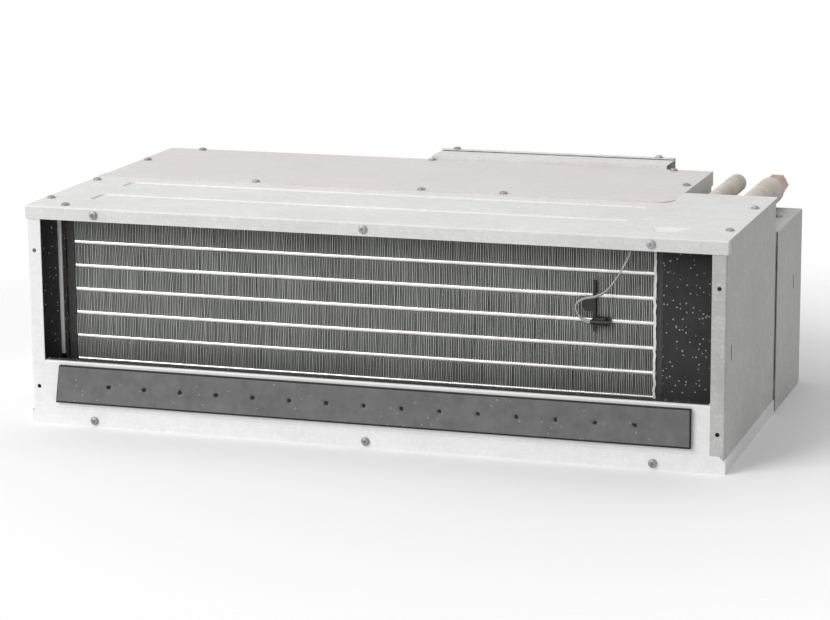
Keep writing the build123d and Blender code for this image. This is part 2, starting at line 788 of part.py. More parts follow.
def fan_wheel(x):
    """Double-inlet wheel with forward-curved blades, a middle disc and end rings."""
    half = wheel_width / 2
    inner = wheel_radius - blade_depth
    lead = math.radians(blade_lead)
    tip = wheel_radius - 0.8
    belly = inner + 0.6 * blade_depth
    outline = make_face(Polyline((inner, 0), (belly, 1.0), (tip * math.cos(lead), tip * math.sin(lead)),
                                 (belly - 0.4 * blade_thickness, 1.0 + blade_thickness), close=True))
    blade = extrude(outline, amount=wheel_width)
    rim = RegularPolygon(wheel_radius, blade_count) - RegularPolygon(inner - 0.5, blade_count)
    wheel = extrude(rim, amount=wheel_ring)
    wheel += Pos(0, 0, wheel_width - wheel_ring) * extrude(rim, amount=wheel_ring)
    wheel += Pos(0, 0, half - wheel_ring / 2) * extrude(RegularPolygon(wheel_radius, blade_count), amount=wheel_ring)
    wheel += [Rot(0, 0, i * 360 / blade_count) * blade for i in range(blade_count)]
    wheel += Pos(0, 0, half - hub_length / 2) * extrude(many_sided(hub_radius), amount=hub_length)
    wheel -= Pos(0, 0, -1) * extrude(Circle(shaft_radius + hub_fit), amount=wheel_width + 2)
    return Pos(x - half, axis_y, axis_z) * Rot(0, 90, 0) * wheel


def fan_shaft():
    """Motor shaft that runs out through both wheels."""
    reach = fan_offset + hub_length / 2 + 3
    return rod_x(motor_x - reach, motor_x + reach, axis_y, axis_z, shaft_radius)


def fan_motor():
    """Motor body with a mounting boss at each end and a running bore for its shaft."""
    half = motor_length / 2
    reach = half + boss_length
    body = rod_x(motor_x - half + motor_shoulder, motor_x + half - motor_shoulder, axis_y, axis_z, motor_radius, many_sided)
    shoulder = extrude(many_sided(motor_radius), amount=motor_shoulder, taper=motor_taper)
    for turn, side in ((90, 1), (-90, -1)):
        body += Pos(motor_x + side * (half - motor_shoulder), axis_y, axis_z) * Rot(0, turn, 0) * shoulder
    body += rod_x(motor_x - reach, motor_x + reach, axis_y, axis_z, boss_radius, many_sided)
    return body - rod_x(motor_x - reach - 1, motor_x + reach + 1, axis_y, axis_z, shaft_radius + bearing_play)


def ring_span(side):
    """Start and end X of the rubber ring on one motor boss."""
    near = motor_x + side * (motor_length / 2 + 0.5)
    far = motor_x + side * (motor_length / 2 + boss_length - 0.5)
    return min(near, far), max(near, far)


def motor_rubber_rings():
    """Rubber rings on the two motor bosses."""
    rings = []
    for side in (-1, 1):
        start, end = ring_span(side)
        ring = rod_x(start, end, axis_y, axis_z, boss_radius + ring_wall, many_sided)
        rings.append(ring - rod_x(start - 1, end + 1, axis_y, axis_z, boss_radius, many_sided))
    return rings


def motor_cradle():
    """Sheet cradle on the tray: a base with an upright under each rubber ring."""
    outer = boss_radius + ring_wall
    ear = outer + cradle_sheet + clamp_ear
    left = ring_span(-1)
    right = ring_span(1)
    cradle = block(left[0], right[1], axis_y - ear, axis_y + ear, sheet, sheet + cradle_sheet)
    for start, end in (left, right):
        middle = (start + end) / 2
        upright = block(middle - cradle_sheet / 2, middle + cradle_sheet / 2, axis_y - ear, axis_y + ear,
                        sheet, axis_z - cradle_sheet)
        upright += block(start, end, axis_y - ear, axis_y + ear, axis_z - cradle_sheet, axis_z)
        saddle = rod_x(start, end, axis_y, axis_z, outer + cradle_sheet, many_sided) & block(
            start, end, axis_y - ear, axis_y + ear, sheet, axis_z)
        cradle += upright + saddle
        cradle -= rod_x(start - 1, end + 1, axis_y, axis_z, outer, many_sided)
    return cradle


def motor_clamps():
    """Half-round clamps over the rubber rings, with an ear at each side."""
    outer = boss_radius + ring_wall
    ear = outer + cradle_sheet + clamp_ear
    clamps = []
    for side in (-1, 1):
        start, end = ring_span(side)
        strap = rod_x(start, end, axis_y, axis_z, outer + cradle_sheet, many_sided)
        strap += block(start, end, axis_y - ear, axis_y + ear, axis_z, axis_z + cradle_sheet)
        strap -= rod_x(start - 1, end + 1, axis_y, axis_z, outer, many_sided)
        clamps.append(strap & block(start, end, axis_y - ear, axis_y + ear, axis_z, casing_height))
    return clamps


def coil_top_seal():
    """Foam strip between the coil and the top sheet."""
    return block(fin_left, fin_right, fin_front + 4, fin_rear - 4, fin_top, top_inside - groove_depth)


def control_box_case():
    """Case of the control box, open to the right, with its standoffs and two tabs to the front section."""
    inner = half_width - bend
    case = block(bay_x, inner, box_front, box_rear, sheet, box_height - sheet)
    case -= block(bay_x + sheet, inner + 1, box_front + sheet, box_rear - sheet, 2 * sheet, box_height - 2 * sheet)
    for level in (box_height - 12, 30):
        case += block(inner - 13, inner - sheet, front_depth, box_front, level - 5, level + 5)
    for y in board_holes()[0]:
        for z in board_holes()[1]:
            case += tube_bar(bay_x + sheet, bay_x + sheet + standoff, y, z, 3)
    case -= rod_y(box_rear - 2 * sheet, box_rear + sheet, bay_x + 45, 40, bush_radius, many_sided)
    return case - rod_z(box_height - 3 * sheet, box_height, bay_x + 25, box_rear - 22, bush_radius, many_sided)


def board_holes():
    """Y and Z of the circuit board's standoffs."""
    return (box_front + 14, box_front + 74), (box_height - 115, box_height - 15)


def wall_slot(y, z):
    """Cutter for an upright slot in a wall at the right-hand side."""
    return block(half_width - 2, half_width + 1, y - 2, y + 2, z - 8, z + 8)


def control_box_cover():
    """Cover of the control box: the outer side with a flange over the top and one under the bottom."""
    outline = folded([(half_width - cover_flange, box_height), (half_width, box_height), (half_width, 0),
                      (half_width - cover_flange + 12, 0)][::-1])
    cover = along_y(outline, box_front, box_rear)
    return cover - wall_slot(box_front + 95, 124)


def circuit_board():
    """Circuit board on its standoffs with relays, capacitors and plugs."""
    face = bay_x + sheet + standoff
    ys, zs = board_holes()
    board = block(face, face + board_thickness, ys[0] - 6, ys[1] + 6, zs[0] - 6, zs[1] + 6)
    top = face + board_thickness
    board += rod_x(top, top + 22, ys[0] + 14, zs[0] + 24, 9, many_sided)
    board += tube_bar(top, top + 16, ys[0] + 34, zs[0] + 16, 5)
    for i in range(3):
        y = ys[0] + 12 + 18 * i
        board += block(top, top + 15, y, y + 12, zs[1] - 34, zs[1] - 8)
    board += block(top, top + 9, ys[0] + 48, ys[0] + 56, zs[0] + 10, zs[0] + 50)
    return board


def terminal_block():
    """Terminal block with partitions between its terminals."""
    face = bay_x + sheet
    y0 = box_rear - 44
    block_body = block(face, face + 16, y0, y0 + 26, 66, 150)
    for i in range(6):
        z = 66 + i * 16.4
        block_body += block(face + 16, face + 24, y0 + 2, y0 + 24, z, z + 2)
    return block_body


def transformer():
    """Transformer with its core and coil."""
    face = bay_x + sheet
    core = block(face, face + 36, box_front + 12, box_front + 54, 2 * sheet, 2 * sheet + 36)
    return core + block(face + 4, face + 32, box_front + 8, box_front + 58, 2 * sheet + 8, 2 * sheet + 28)


def fan_capacitor():
    """Capacitor of the fan motor, oval, standing on the case floor."""
    outline = chamfer(Rectangle(24, 44).vertices(), 7)
    return along_z(Pos(bay_x + sheet + 14, box_rear - 44) * outline, 2 * sheet, 2 * sheet + 46)


def cable_bushes():
    """Rubber bushes in the rear and top walls of the control box, each with a collar outside."""
    x, z = bay_x + 45, 40
    collar = bush_radius + 2.5
    rear = rod_y(box_rear - sheet, box_rear, x, z, bush_radius, many_sided)
    rear += rod_y(box_rear, box_rear + 3, x, z, collar, many_sided)
    rear -= rod_y(box_rear - 2, box_rear + 4, x, z, bush_bore)
    x, y, top = bay_x + 25, box_rear - 22, box_height - sheet
    upper = rod_z(top - sheet, top, x, y, bush_radius, many_sided) + rod_z(top, top + 3, x, y, collar, many_sided)
    return [rear, upper - rod_z(top - 2, top + 4, x, y, bush_bore, many_sided)]


def wiring_duct():
    """Channel for the motor leads behind the rear panel, its rear edge turned in as a strip."""
    rear = rear_depth + duct_depth
    top = casing_height + duct_rise
    channel = folded([(rear - duct_strip, top + 2), (rear, top + 2), (rear, duct_bottom), (rear_depth, duct_bottom),
                      (rear_depth, top)][::-1])
    duct = along_x(channel, duct_left, duct_right)
    duct += block(duct_left, duct_left + sheet, rear_depth + sheet, rear - sheet, duct_bottom + sheet, top - sheet)
    return duct


def wiring_duct_lid():
    """Lid of the wiring duct, tucked under the strip at the rear."""
    rear = rear_depth + duct_depth
    top = casing_height + duct_rise
    return block(duct_left, duct_right, rear_depth + sheet, rear - sheet - 0.2, top - sheet, top)


def screw(place, turn):
    """Hexagon-head screw standing on the origin of its own plane, point downwards."""
    solid = extrude(RegularPolygon(screw_flats / 2, 6, major_radius=False), amount=screw_head)
    solid += extrude(RegularPolygon(shank_radius, shank_sides), amount=-shank_length)
    return Pos(*place) * turn * solid


def screw_hole(place, turn):
    """Clearance hole for a screw's shank."""
    return Pos(*place) * turn * extrude(RegularPolygon(shank_radius + shank_play, shank_sides), amount=-shank_length - 1)


upward = Rot(0, 0, 0)
forward = Rot(90, 0, 0)
rearward = Rot(-90, 0, 0)


def screw_places():
    """Every casing screw: its place, the way that it faces and the pieces that it passes through."""
    top = casing_height
    flange_z = top - top_flange / 2
    left = -skin + 7
    right = skin - 9
    front = ["top_front_panel", "left_side_panel", "right_side_panel"]
    rear = ["top_rear_panel", "top_front_panel", "left_side_panel", "rear_section_side_panel", "rear_panel"]
    places = [((left, y, top), upward, front) for y in (48, 167)]
    places += [((left, 308, top), upward, rear)]
    places += [((right, y, top), upward, front) for y in (55, 183)]
    places += [((left + 33, 12, top), upward, front)]
    places += [((x, 194, top + sheet), upward, rear) for x in (motor_x - 140, motor_x + 50, motor_x + 142)]
    places += [((bay_x - 8, 300, top), upward, rear)]
    places += [((x, rear_depth - 8, top), upward, rear) for x in (left + 34, motor_x, bay_x - 43)]
    places += [((x, 0, flange_z), forward, front) for x in (left + 70, 0, right - 67)]
    places += [((x, 0, 6.5), forward, ["bottom_tray", "front_lower_plate"]) for x in (left + 64, 0, right - 63)]
    strip = casing_height + duct_rise + 2
    places += [((x, rear_depth + duct_depth - 5, strip), upward, ["wiring_duct", "wiring_duct_lid"])
               for x in (duct_left + 18, duct_right - 18)]
    return places


def box_screw_places():
    """The control box's screws, as above."""
    cover = ["control_box_cover", "control_box_case"]
    return [((half_width - 16, box_front + 86, box_height), upward, cover),
            ((half_width - 16, box_rear, box_height - 30), rearward, cover),
            ((half_width - 16, box_rear, 60), rearward, cover)]


def sensor_holder():
    """Plastic spike and clip that holds the sensor against the fins."""
    spike = block(sensor_x - 1.5, sensor_x + 1.5, fin_front - 3, fin_front, sensor_z - 10, sensor_z + 42)
    disc = rod_y(fin_front - 2.4, fin_front, sensor_x - 6, sensor_z + 17, 7, many_sided)
    disc &= block(sensor_x - 14, sensor_x, fin_front - 4, fin_front, sensor_z, sensor_z + 34)
    cradle = block(sensor_x - 2, sensor_x + 16, fin_front - 3, fin_front, sensor_z - 4, sensor_z + 5)
    holder = spike + disc + cradle
    y = fin_front - 3
    jaw = block(sensor_x + 1, sensor_x + 13, y - 2 * sensor_radius, y, sensor_z - 4, sensor_z + 4.5)
    jaw -= rod_x(sensor_x, sensor_x + 14, y - sensor_radius, sensor_z, sensor_radius + 0.1)
    jaw -= block(sensor_x, sensor_x + 14, y - 2 * sensor_radius - 1, y - 1.4 * sensor_radius, sensor_z - 6, sensor_z + 6)
    return holder + jaw


def sensor_bulb():
    """Sensor bulb in its holder."""
    y = fin_front - 3 - sensor_radius
    return rod_x(sensor_x - 3, sensor_x - 3 + sensor_length, y, sensor_z, sensor_radius)


for name, builder in (
    ("bottom_tray", bottom_tray), ("left_side_panel", left_side_panel), ("right_side_panel", right_side_panel),
    ("rear_section_side_panel", rear_section_side_panel), ("pipe_plate", pipe_plate), ("rear_panel", rear_panel),
    ("top_front_panel", top_front_panel), ("top_rear_panel", top_rear_panel),
    ("front_lower_plate", front_lower_plate), ("front_foam_strip", front_foam_strip),
    ("coil_fins", coil_fins), ("coil_top_seal", coil_top_seal), ("gas_header", gas_header), ("gas_pipe", gas_pipe),
    ("liquid_pipe", liquid_pipe), ("liquid_pipe_sleeve", liquid_sleeve),
    ("drain_pan", drain_pan), ("drain_socket", drain_socket), ("pipe_bay_partition", pipe_bay_partition),
    ("fan_deck", fan_deck), ("fan_shaft", fan_shaft), ("fan_motor", fan_motor), ("motor_cradle", motor_cradle),
    ("control_box_case", control_box_case), ("control_box_cover", control_box_cover),
    ("circuit_board", circuit_board), ("terminal_block", terminal_block), ("transformer", transformer),
    ("fan_capacitor", fan_capacitor), ("wiring_duct", wiring_duct), ("wiring_duct_lid", wiring_duct_lid),
    ("sensor_holder", sensor_holder), ("sensor_bulb", sensor_bulb),
):
    add(name, builder())

right_plate, right_foam = blanking(blank_right_width)
left_plate, left_foam = blanking(blank_left_width)
add("right_blanking_plate", right_plate)
add("right_blanking_foam", right_foam)
add("left_blanking_plate", mirror(left_plate, about=Plane.YZ))
add("left_blanking_foam", mirror(left_foam, about=Plane.YZ))

middle = Plane.YZ.offset((fin_left + fin_right) / 2)
add("coil_right_end_plate", coil_end_plate())
add("coil_left_end_plate", mirror(coil_end_plate(), about=middle))

tubes = tube_places()
ends = (fin_left - end_plate, fin_right + end_plate)
add("coil_tubes", *[tube_bar(*ends, y, z, tube_radius) for y, z in tubes])
pairs = [(2 * k, 2 * k + 1) for k in range(tube_rows)]
add("left_return_bends", *[u_bend(ends[0], tubes[a], tubes[b], -1) for a, b in pairs])
crossings = [(2 * k + 1, tube_rows + 2 * k + 1) for k in range(tube_rows // 2)]
add("right_return_bends", *[u_bend(ends[1], tubes[a], tubes[b], 1) for a, b in crossings])

add("gas_pipe_sleeve", pipe_sleeve(gas_x, gas_z, gas_sleeve_radius, gas_radius, sleeve_end))
add("gas_flare_nut", flare_nut(gas_x, gas_z, sleeve_end + 0.3, sleeve_end + 0.3 + gas_nut_length, gas_nut_flats,
                               gas_radius, gas_nut_seat(), gas_thread_radius))
add("liquid_flare_nut", flare_nut(liquid_x, liquid_z, sleeve_end - liquid_nut_length + 0.3, sleeve_end,
                                  liquid_nut_flats, liquid_radius, liquid_nut_seat(), 0))

for side, label in ((-1, "left"), (1, "right")):
    upper, lower = fan_housing(motor_x + side * fan_offset)
    add(f"{label}_fan_housing_upper", upper)
    add(f"{label}_fan_housing_lower", lower)
    add(f"{label}_fan_wheel", fan_wheel(motor_x + side * fan_offset))

add("liquid_distributor", *liquid_distributor())
add("gas_union", gas_union())
add("motor_rubber_rings", *motor_rubber_rings())
add("motor_clamps", *motor_clamps())
add("cable_bushes", *cable_bushes())

clip_x = bay_x - clip_gap
clip_bottom = top_inside - clip_length
add("sensor_lead_clip", block(clip_x - 4.5, clip_x + 4.5, clip_y - clip_thickness / 2, clip_y + clip_thickness / 2,
                              clip_bottom, top_inside))
bulb_y = fin_front - 3 - sensor_radius
lead_start = (clip_x - 1, clip_y, clip_bottom)
lead_turns = [(-1, 0, 20), (-8, -0.8, 35), (-17, 0, 50.5), (-27, 2.5, 63), (-38.5, 4.5, 68.5), (-50.5, 6, 70.5),
              (-59.5, 7, 77.5), (-57.5, 8.2, 87)]
lead_route = [lead_start]
lead_route += [(clip_x + dx, clip_y + dy, casing_height - depth) for dx, dy, depth in lead_turns]
lead_route += [(sensor_x - 10.5, bulb_y, sensor_z), (sensor_x - 3, bulb_y, sensor_z)]
add("sensor_lead", cord(lead_route, lead_radius))

every_screw = screw_places() + box_screw_places()
add("casing_screws", *[screw(place, turn) for place, turn, through in every_screw])
for place, turn, through in every_screw:
    drill(through, screw_hole(place, turn))
drill(["left_side_panel", "bottom_tray"],
      rod_x(-half_width - 1, -skin + 2, socket_y, socket_z, socket_radius + 0.1, many_sided_hole))
for name in ("left_side_panel", "right_side_panel"):
    for z in (duct_hole_low, duct_hole_high):
        side = -1 if name.startswith("left") else 1
        drill([name], rod_y(0, 3, side * duct_hole_x, z, hole_radius))

everything = Compound(children=[solid.solid() for solids in nodes.values() for solid in solids])
bounds = everything.bounding_box()
shift = Pos(-(bounds.min.X + bounds.max.X) / 2, -(bounds.min.Y + bounds.max.Y) / 2, 0)
print("bounds", bounds, "shift", shift.position)
for name, solids in nodes.items():
    placed = [shift * solid for solid in solids]
    export_step(Compound(children=placed) if len(placed) > 1 else placed[0], f"parts/{name}.step")
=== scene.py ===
"""Looks of a concealed duct indoor unit: finishes, coil, fasteners, foam and pipe ends, on a pale floor."""

import logging
import math
from collections.abc import Callable, Iterator
from contextlib import contextmanager
from dataclasses import dataclass
from enum import Enum

import bpy
from mathutils import Matrix, Vector, noise


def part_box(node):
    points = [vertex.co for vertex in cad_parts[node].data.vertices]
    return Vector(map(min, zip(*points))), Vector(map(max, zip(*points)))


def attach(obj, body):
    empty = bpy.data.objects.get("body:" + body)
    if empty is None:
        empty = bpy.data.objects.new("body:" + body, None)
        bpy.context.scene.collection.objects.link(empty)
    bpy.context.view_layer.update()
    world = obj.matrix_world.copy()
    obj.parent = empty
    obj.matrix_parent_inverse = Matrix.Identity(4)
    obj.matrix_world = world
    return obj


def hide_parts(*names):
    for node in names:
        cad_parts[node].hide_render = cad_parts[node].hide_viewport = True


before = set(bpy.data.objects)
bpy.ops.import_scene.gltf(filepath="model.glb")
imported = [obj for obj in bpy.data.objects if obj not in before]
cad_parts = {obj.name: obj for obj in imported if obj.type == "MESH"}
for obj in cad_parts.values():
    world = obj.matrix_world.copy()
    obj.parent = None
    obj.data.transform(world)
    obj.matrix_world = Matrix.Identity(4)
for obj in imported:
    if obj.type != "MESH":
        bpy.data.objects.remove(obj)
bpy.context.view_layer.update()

MM = 0.001
CASING = "casing"
# Middle of the lead's clip in the casing's own frame, in millimetres.
CLIP_PLACE = (274.0, 20.0)
log = logging.getLogger("indoor_unit")

Triple = tuple[float, float, float]
Colour = Triple


class Direction(Enum):
    """Where a screw's head faces."""

    UP = (0.0, 0.0, 1.0)
    FORWARD = (0.0, -1.0, 0.0)
    REARWARD = (0.0, 1.0, 0.0)


class Signal:
    """A value in a shader that does its maths with Python's operators."""

    def __init__(self, graph: "Graph", socket: bpy.types.NodeSocket) -> None:
        """Keeps the graph and the socket that carries the value.

        Args:
            graph: the material's graph.
            socket: the output socket.
        """
        self.graph = graph
        self.socket = socket

    def __add__(self, other: "Signal | float") -> "Signal":
        """Sum."""
        return self.graph.maths("ADD", self, other)

    __radd__ = __add__

    def __sub__(self, other: "Signal | float") -> "Signal":
        """Difference."""
        return self.graph.maths("SUBTRACT", self, other)

    def __rsub__(self, other: float) -> "Signal":
        """Difference from a number."""
        return self.graph.maths("SUBTRACT", other, self)

    def __mul__(self, other: "Signal | float") -> "Signal":
        """Product."""
        return self.graph.maths("MULTIPLY", self, other)

    __rmul__ = __mul__

    def __pow__(self, other: float) -> "Signal":
        """Power."""
        return self.graph.maths("POWER", self, other)

    def __gt__(self, other: float) -> "Signal":
        """One where the value is greater, else nought."""
        return self.graph.maths("GREATER_THAN", self, other)

    def __lt__(self, other: float) -> "Signal":
        """One where the value is less, else nought."""
        return self.graph.maths("LESS_THAN", self, other)


class Graph:
    """One material and its nodes."""

    def __init__(self, name: str) -> None:
        """Makes an empty material with one surface shader.

        Args:
            name: the material's name.
        """
        self.material = bpy.data.materials.new(name)
        self.material.use_nodes = True
        self.tree = self.material.node_tree
        self.tree.nodes.clear()
        output = self.tree.nodes.new("ShaderNodeOutputMaterial")
        self.shader = self.tree.nodes.new("ShaderNodeBsdfPrincipled")
        self.tree.links.new(self.shader.outputs["BSDF"], output.inputs["Surface"])
        coordinates = self.tree.nodes.new("ShaderNodeTexCoord")
        self.place = Signal(self, coordinates.outputs["Object"])

    def feed(self, socket: bpy.types.NodeSocket, value: object) -> None:
        """Sets or links one input.

        Args:
            socket: the input.
            value: a number, colour or signal.
        """
        if isinstance(value, Signal):
            self.tree.links.new(value.socket, socket)
        else:
            socket.default_value = value

    def node(self, kind: str, settings: dict, inputs: dict) -> bpy.types.Node:
        """Adds a node, its settings first.

        Args:
            kind: the node's type.
            settings: attributes by name.
            inputs: values or signals by socket.

        Returns:
            The node.
        """
        made = self.tree.nodes.new(kind)
        for key, value in settings.items():
            setattr(made, key, value)
        for key, value in inputs.items():
            self.feed(made.inputs[key], value)
        return made

    def maths(self, operation: str, a: "Signal | float", b: "Signal | float") -> Signal:
        """One step of maths on two values.

        Args:
            operation: the Math node's operation.
            a: first value.
            b: second value.

        Returns:
            The result.
        """
        return Signal(self, self.node("ShaderNodeMath", {"operation": operation}, {0: a, 1: b}).outputs[0])

    def clamped(self, value: Signal) -> Signal:
        """Keeps a value between nought and one."""
        made = self.node("ShaderNodeMath", {"operation": "ADD", "use_clamp": True}, {0: value, 1: 0.0})
        return Signal(self, made.outputs[0])

    def stretched(self, scale: Colour) -> Signal:
        """Object coordinates, scaled along each axis."""
        made = self.node("ShaderNodeMapping", {}, {"Vector": self.place, "Scale": scale})
        return Signal(self, made.outputs["Vector"])

    def cloud(self, scale: float, detail: float = 3.0, place: "Signal | None" = None) -> Signal:
        """Soft noise from nought to one.

        Args:
            scale: how many waves to a metre.
            detail: octaves.
            place: coordinates, or the object's own.

        Returns:
            The noise.
        """
        inputs = {"Vector": place or self.place, "Scale": scale, "Detail": detail, "Roughness": 0.6}
        return Signal(self, self.node("ShaderNodeTexNoise", {}, inputs).outputs["Fac"])

    def cells(self, scale: float) -> tuple[Signal, Signal]:
        """Cells: how far each point is from its cell's middle, and a random level for each cell.

        Args:
            scale: cells to a metre.

        Returns:
            The distance and the level.
        """
        inputs = {"Vector": self.place, "Scale": scale}
        made = self.node("ShaderNodeTexVoronoi", {"feature": "F1"}, inputs)
        split = self.node("ShaderNodeSeparateColor", {}, {"Color": Signal(self, made.outputs["Color"])})
        return Signal(self, made.outputs["Distance"]), Signal(self, split.outputs[0])

    def axes(self) -> list[Signal]:
        """The object coordinates X, Y and Z, each as a value."""
        split = self.node("ShaderNodeSeparateXYZ", {}, {"Vector": self.place})
        return [Signal(self, split.outputs[i]) for i in range(3)]

    def blend(self, share: Signal, first: Colour, second: "Colour | Signal") -> Signal:
        """Colour between two colours.

        Args:
            share: nought for the first, one for the second.
            first: a colour, or a colour signal.
            second: the other.

        Returns:
            The colour.
        """
        inputs = {0: share, 6: shade(first), 7: shade(second)}
        made = self.node("ShaderNodeMix", {"data_type": "RGBA"}, inputs)
        return Signal(self, made.outputs[2])

    def relief(self, height: Signal, depth_mm: float, strength: float) -> Signal:
        """Normal of a bumpy surface.

        Args:
            height: the bumps, from nought to one.
            depth_mm: how deep a bump of one is.
            strength: how much of it shows.

        Returns:
            The normal.
        """
        inputs = {"Height": height, "Distance": depth_mm * MM, "Strength": strength}
        made = self.node("ShaderNodeBump", {}, inputs)
        return Signal(self, made.outputs["Normal"])

    def dress(self, **inputs: object) -> bpy.types.Material:
        """Sets the shader's inputs, named with underscores for blanks, and gives the material."""
        for key, value in inputs.items():
            self.feed(self.shader.inputs[key.replace("_", " ")], value)
        return self.material


def shade(colour: "Colour | Signal") -> object:
    """A colour with full alpha, or a colour signal as it is."""
    return colour if isinstance(colour, Signal) else (*colour, 1.0)


@dataclass(frozen=True)
class SheetSteel:
    """Zinc-coated sheet: faint spangle, rolling lines along X and a few rubbed patches."""

    name: str
    colour: Colour
    pale: Colour
    metallic: float

    def make(self) -> bpy.types.Material:
        """Makes the material."""
        graph = Graph(self.name)
        spangle = graph.cells(120.0)[1]
        lines = graph.cloud(1.0, 2.0, graph.stretched((14.0, 900.0, 900.0)))
        patches = graph.cloud(9.0, 4.0)
        grain = graph.cloud(1400.0, 2.0)
        flecks = graph.cells(420.0)[1] > 0.86
        tone = graph.clamped(0.22 * spangle + 0.55 * lines + 0.8 * patches + 0.5 * grain
                             + 0.22 * flecks - 0.62)
        rough = 0.5 + 0.18 * patches + 0.1 * spangle
        bumps = 0.5 * lines + 0.5 * grain
        return graph.dress(Base_Color=graph.blend(tone, self.colour, self.pale), Metallic=self.metallic,
                           Roughness=rough, Normal=graph.relief(bumps, 0.03, 0.5))


@dataclass(frozen=True)
class FinAluminium:
    """Coated fin stock, uneven from fin to fin."""

    name: str

    def make(self) -> bpy.types.Material:
        """Makes the material."""
        graph = Graph(self.name)
        strips = graph.cloud(1.0, 1.0, graph.stretched((420.0, 5.0, 16.0)))
        patches = graph.cloud(14.0, 3.0)
        tone = graph.clamped(1.1 * strips + 0.7 * patches - 0.45)
        colour = graph.blend(tone, (0.25, 0.26, 0.245), (0.54, 0.555, 0.525))
        return graph.dress(Base_Color=colour, Metallic=0.25, Roughness=0.42 + 0.2 * patches)


@dataclass(frozen=True)
class DrawnTube:
    """Drawn or turned metal with faint lines and tarnish."""

    name: str
    colour: Colour
    dark: Colour
    metallic: float = 0.85
    roughness: float = 0.28

    def make(self) -> bpy.types.Material:
        """Makes the material."""
        graph = Graph(self.name)
        tarnish = graph.cloud(60.0, 4.0)
        lines = graph.cloud(1.0, 2.0, graph.stretched((40.0, 700.0, 700.0)))
        tone = graph.clamped(1.3 * tarnish + 0.4 * lines - 0.4)
        rough = self.roughness + 0.2 * tarnish
        return graph.dress(Base_Color=graph.blend(tone, self.dark, self.colour), Metallic=self.metallic,
                           Roughness=rough, Normal=graph.relief(lines, 0.02, 0.4))


@dataclass(frozen=True)
class SpeckledFoam:
    """Dark cut foam with open pores and pale specks."""

    name: str
    colour: Colour
    pore: Colour
    speck: Colour
    speck_share: float = 0.34

    def make(self) -> bpy.types.Material:
        """Makes the material."""
        graph = Graph(self.name)
        distance, level = graph.cells(300.0)
        mottle = graph.cloud(70.0, 4.0)
        pores = graph.cloud(900.0, 3.0)
        specks = (distance < 0.24) * (level > 1 - self.speck_share)
        ground = graph.blend(graph.clamped(1.2 * mottle + 0.8 * pores - 0.5), self.pore, self.colour)
        return graph.dress(Base_Color=graph.blend(specks, ground, self.speck), Roughness=0.75 + 0.2 * pores,
                           Normal=graph.relief(pores + 0.5 * mottle, 0.35, 0.7))


@dataclass(frozen=True)
class Moulded:
    """Moulded plastic, rubber or paint with a fine grain."""

    name: str
    colour: Colour
    roughness: float = 0.45
    grain_mm: float = 0.03
    coat: float = 0.0

    def make(self) -> bpy.types.Material:
        """Makes the material."""
        graph = Graph(self.name)
        grain = graph.cloud(1600.0, 3.0)
        wear = graph.cloud(25.0, 4.0)
        dark = tuple(0.72 * c for c in self.colour)
        tone = graph.clamped(1.6 * wear + 0.4 * grain - 0.45)
        return graph.dress(Base_Color=graph.blend(tone, dark, self.colour),
                           Roughness=self.roughness + 0.18 * wear, Coat_Weight=self.coat,
                           Normal=graph.relief(grain, self.grain_mm, 0.6))


@dataclass(frozen=True)
class PipeFoam:
    """Cream foam sleeve with a wrinkled skin and brownish scuffs."""

    name: str

    def make(self) -> bpy.types.Material:
        """Makes the material."""
        graph = Graph(self.name)
        scuffs = graph.cloud(45.0, 5.0)
        skin = graph.cloud(500.0, 3.0)
        tone = graph.clamped(2.0 * scuffs + 0.3 * skin - 0.5)
        colour = graph.blend(tone, (0.44, 0.37, 0.30), (0.72, 0.68, 0.62))
        return graph.dress(Base_Color=colour, Roughness=0.62 + 0.2 * skin,
                           Normal=graph.relief(skin + scuffs, 0.25, 0.7))


STEEL = SheetSteel("zinc_coated_sheet", (0.60, 0.60, 0.59), (0.80, 0.80, 0.78), 0.15)
FLANGE_STEEL = SheetSteel("bright_zinc_sheet", (0.74, 0.74, 0.74), (0.88, 0.88, 0.88), 0.1)
# Darker copy of the zinc sheet for the right-hand walls: painted shade, as that side faces away from the
# lamps.
SHADED_SIDE_STEEL = SheetSteel("zinc_sheet_painted_side_shade", (0.38, 0.38, 0.375), (0.64, 0.64, 0.63), 0.2)
REAR_STEEL = SheetSteel("filmed_zinc_sheet", (0.60, 0.57, 0.56), (0.75, 0.71, 0.70), 0.1)
# Near-black copy of the zinc sheet for the coil's end plates, the right blanking plate and the partition:
# painted shadow, as these plates stand deep in shade.
SHADOWED_STEEL = SheetSteel("zinc_sheet_painted_shadow", (0.025, 0.025, 0.025), (0.07, 0.07, 0.07), 0.2)
FINS = FinAluminium("coated_fins")
BRIGHT_TUBE = DrawnTube("tinned_tube", (0.96, 0.95, 0.93), (0.62, 0.60, 0.58), 0.9, 0.2)
COPPER = DrawnTube("drawn_copper", (0.58, 0.27, 0.16), (0.26, 0.12, 0.07))
BRASS = DrawnTube("turned_brass", (0.56, 0.38, 0.26), (0.22, 0.13, 0.09), 0.8, 0.3)
ZINC = DrawnTube("plated_steel", (0.50, 0.50, 0.51), (0.20, 0.20, 0.21), 0.85, 0.3)
BLACK_FOAM = SpeckledFoam("black_foam", (0.038, 0.038, 0.037), (0.010, 0.010, 0.010), (0.36, 0.36, 0.36))
STRIP_FOAM = SpeckledFoam("grey_foam", (0.185, 0.188, 0.186), (0.10, 0.10, 0.10), (0.33, 0.33, 0.33), 0.05)
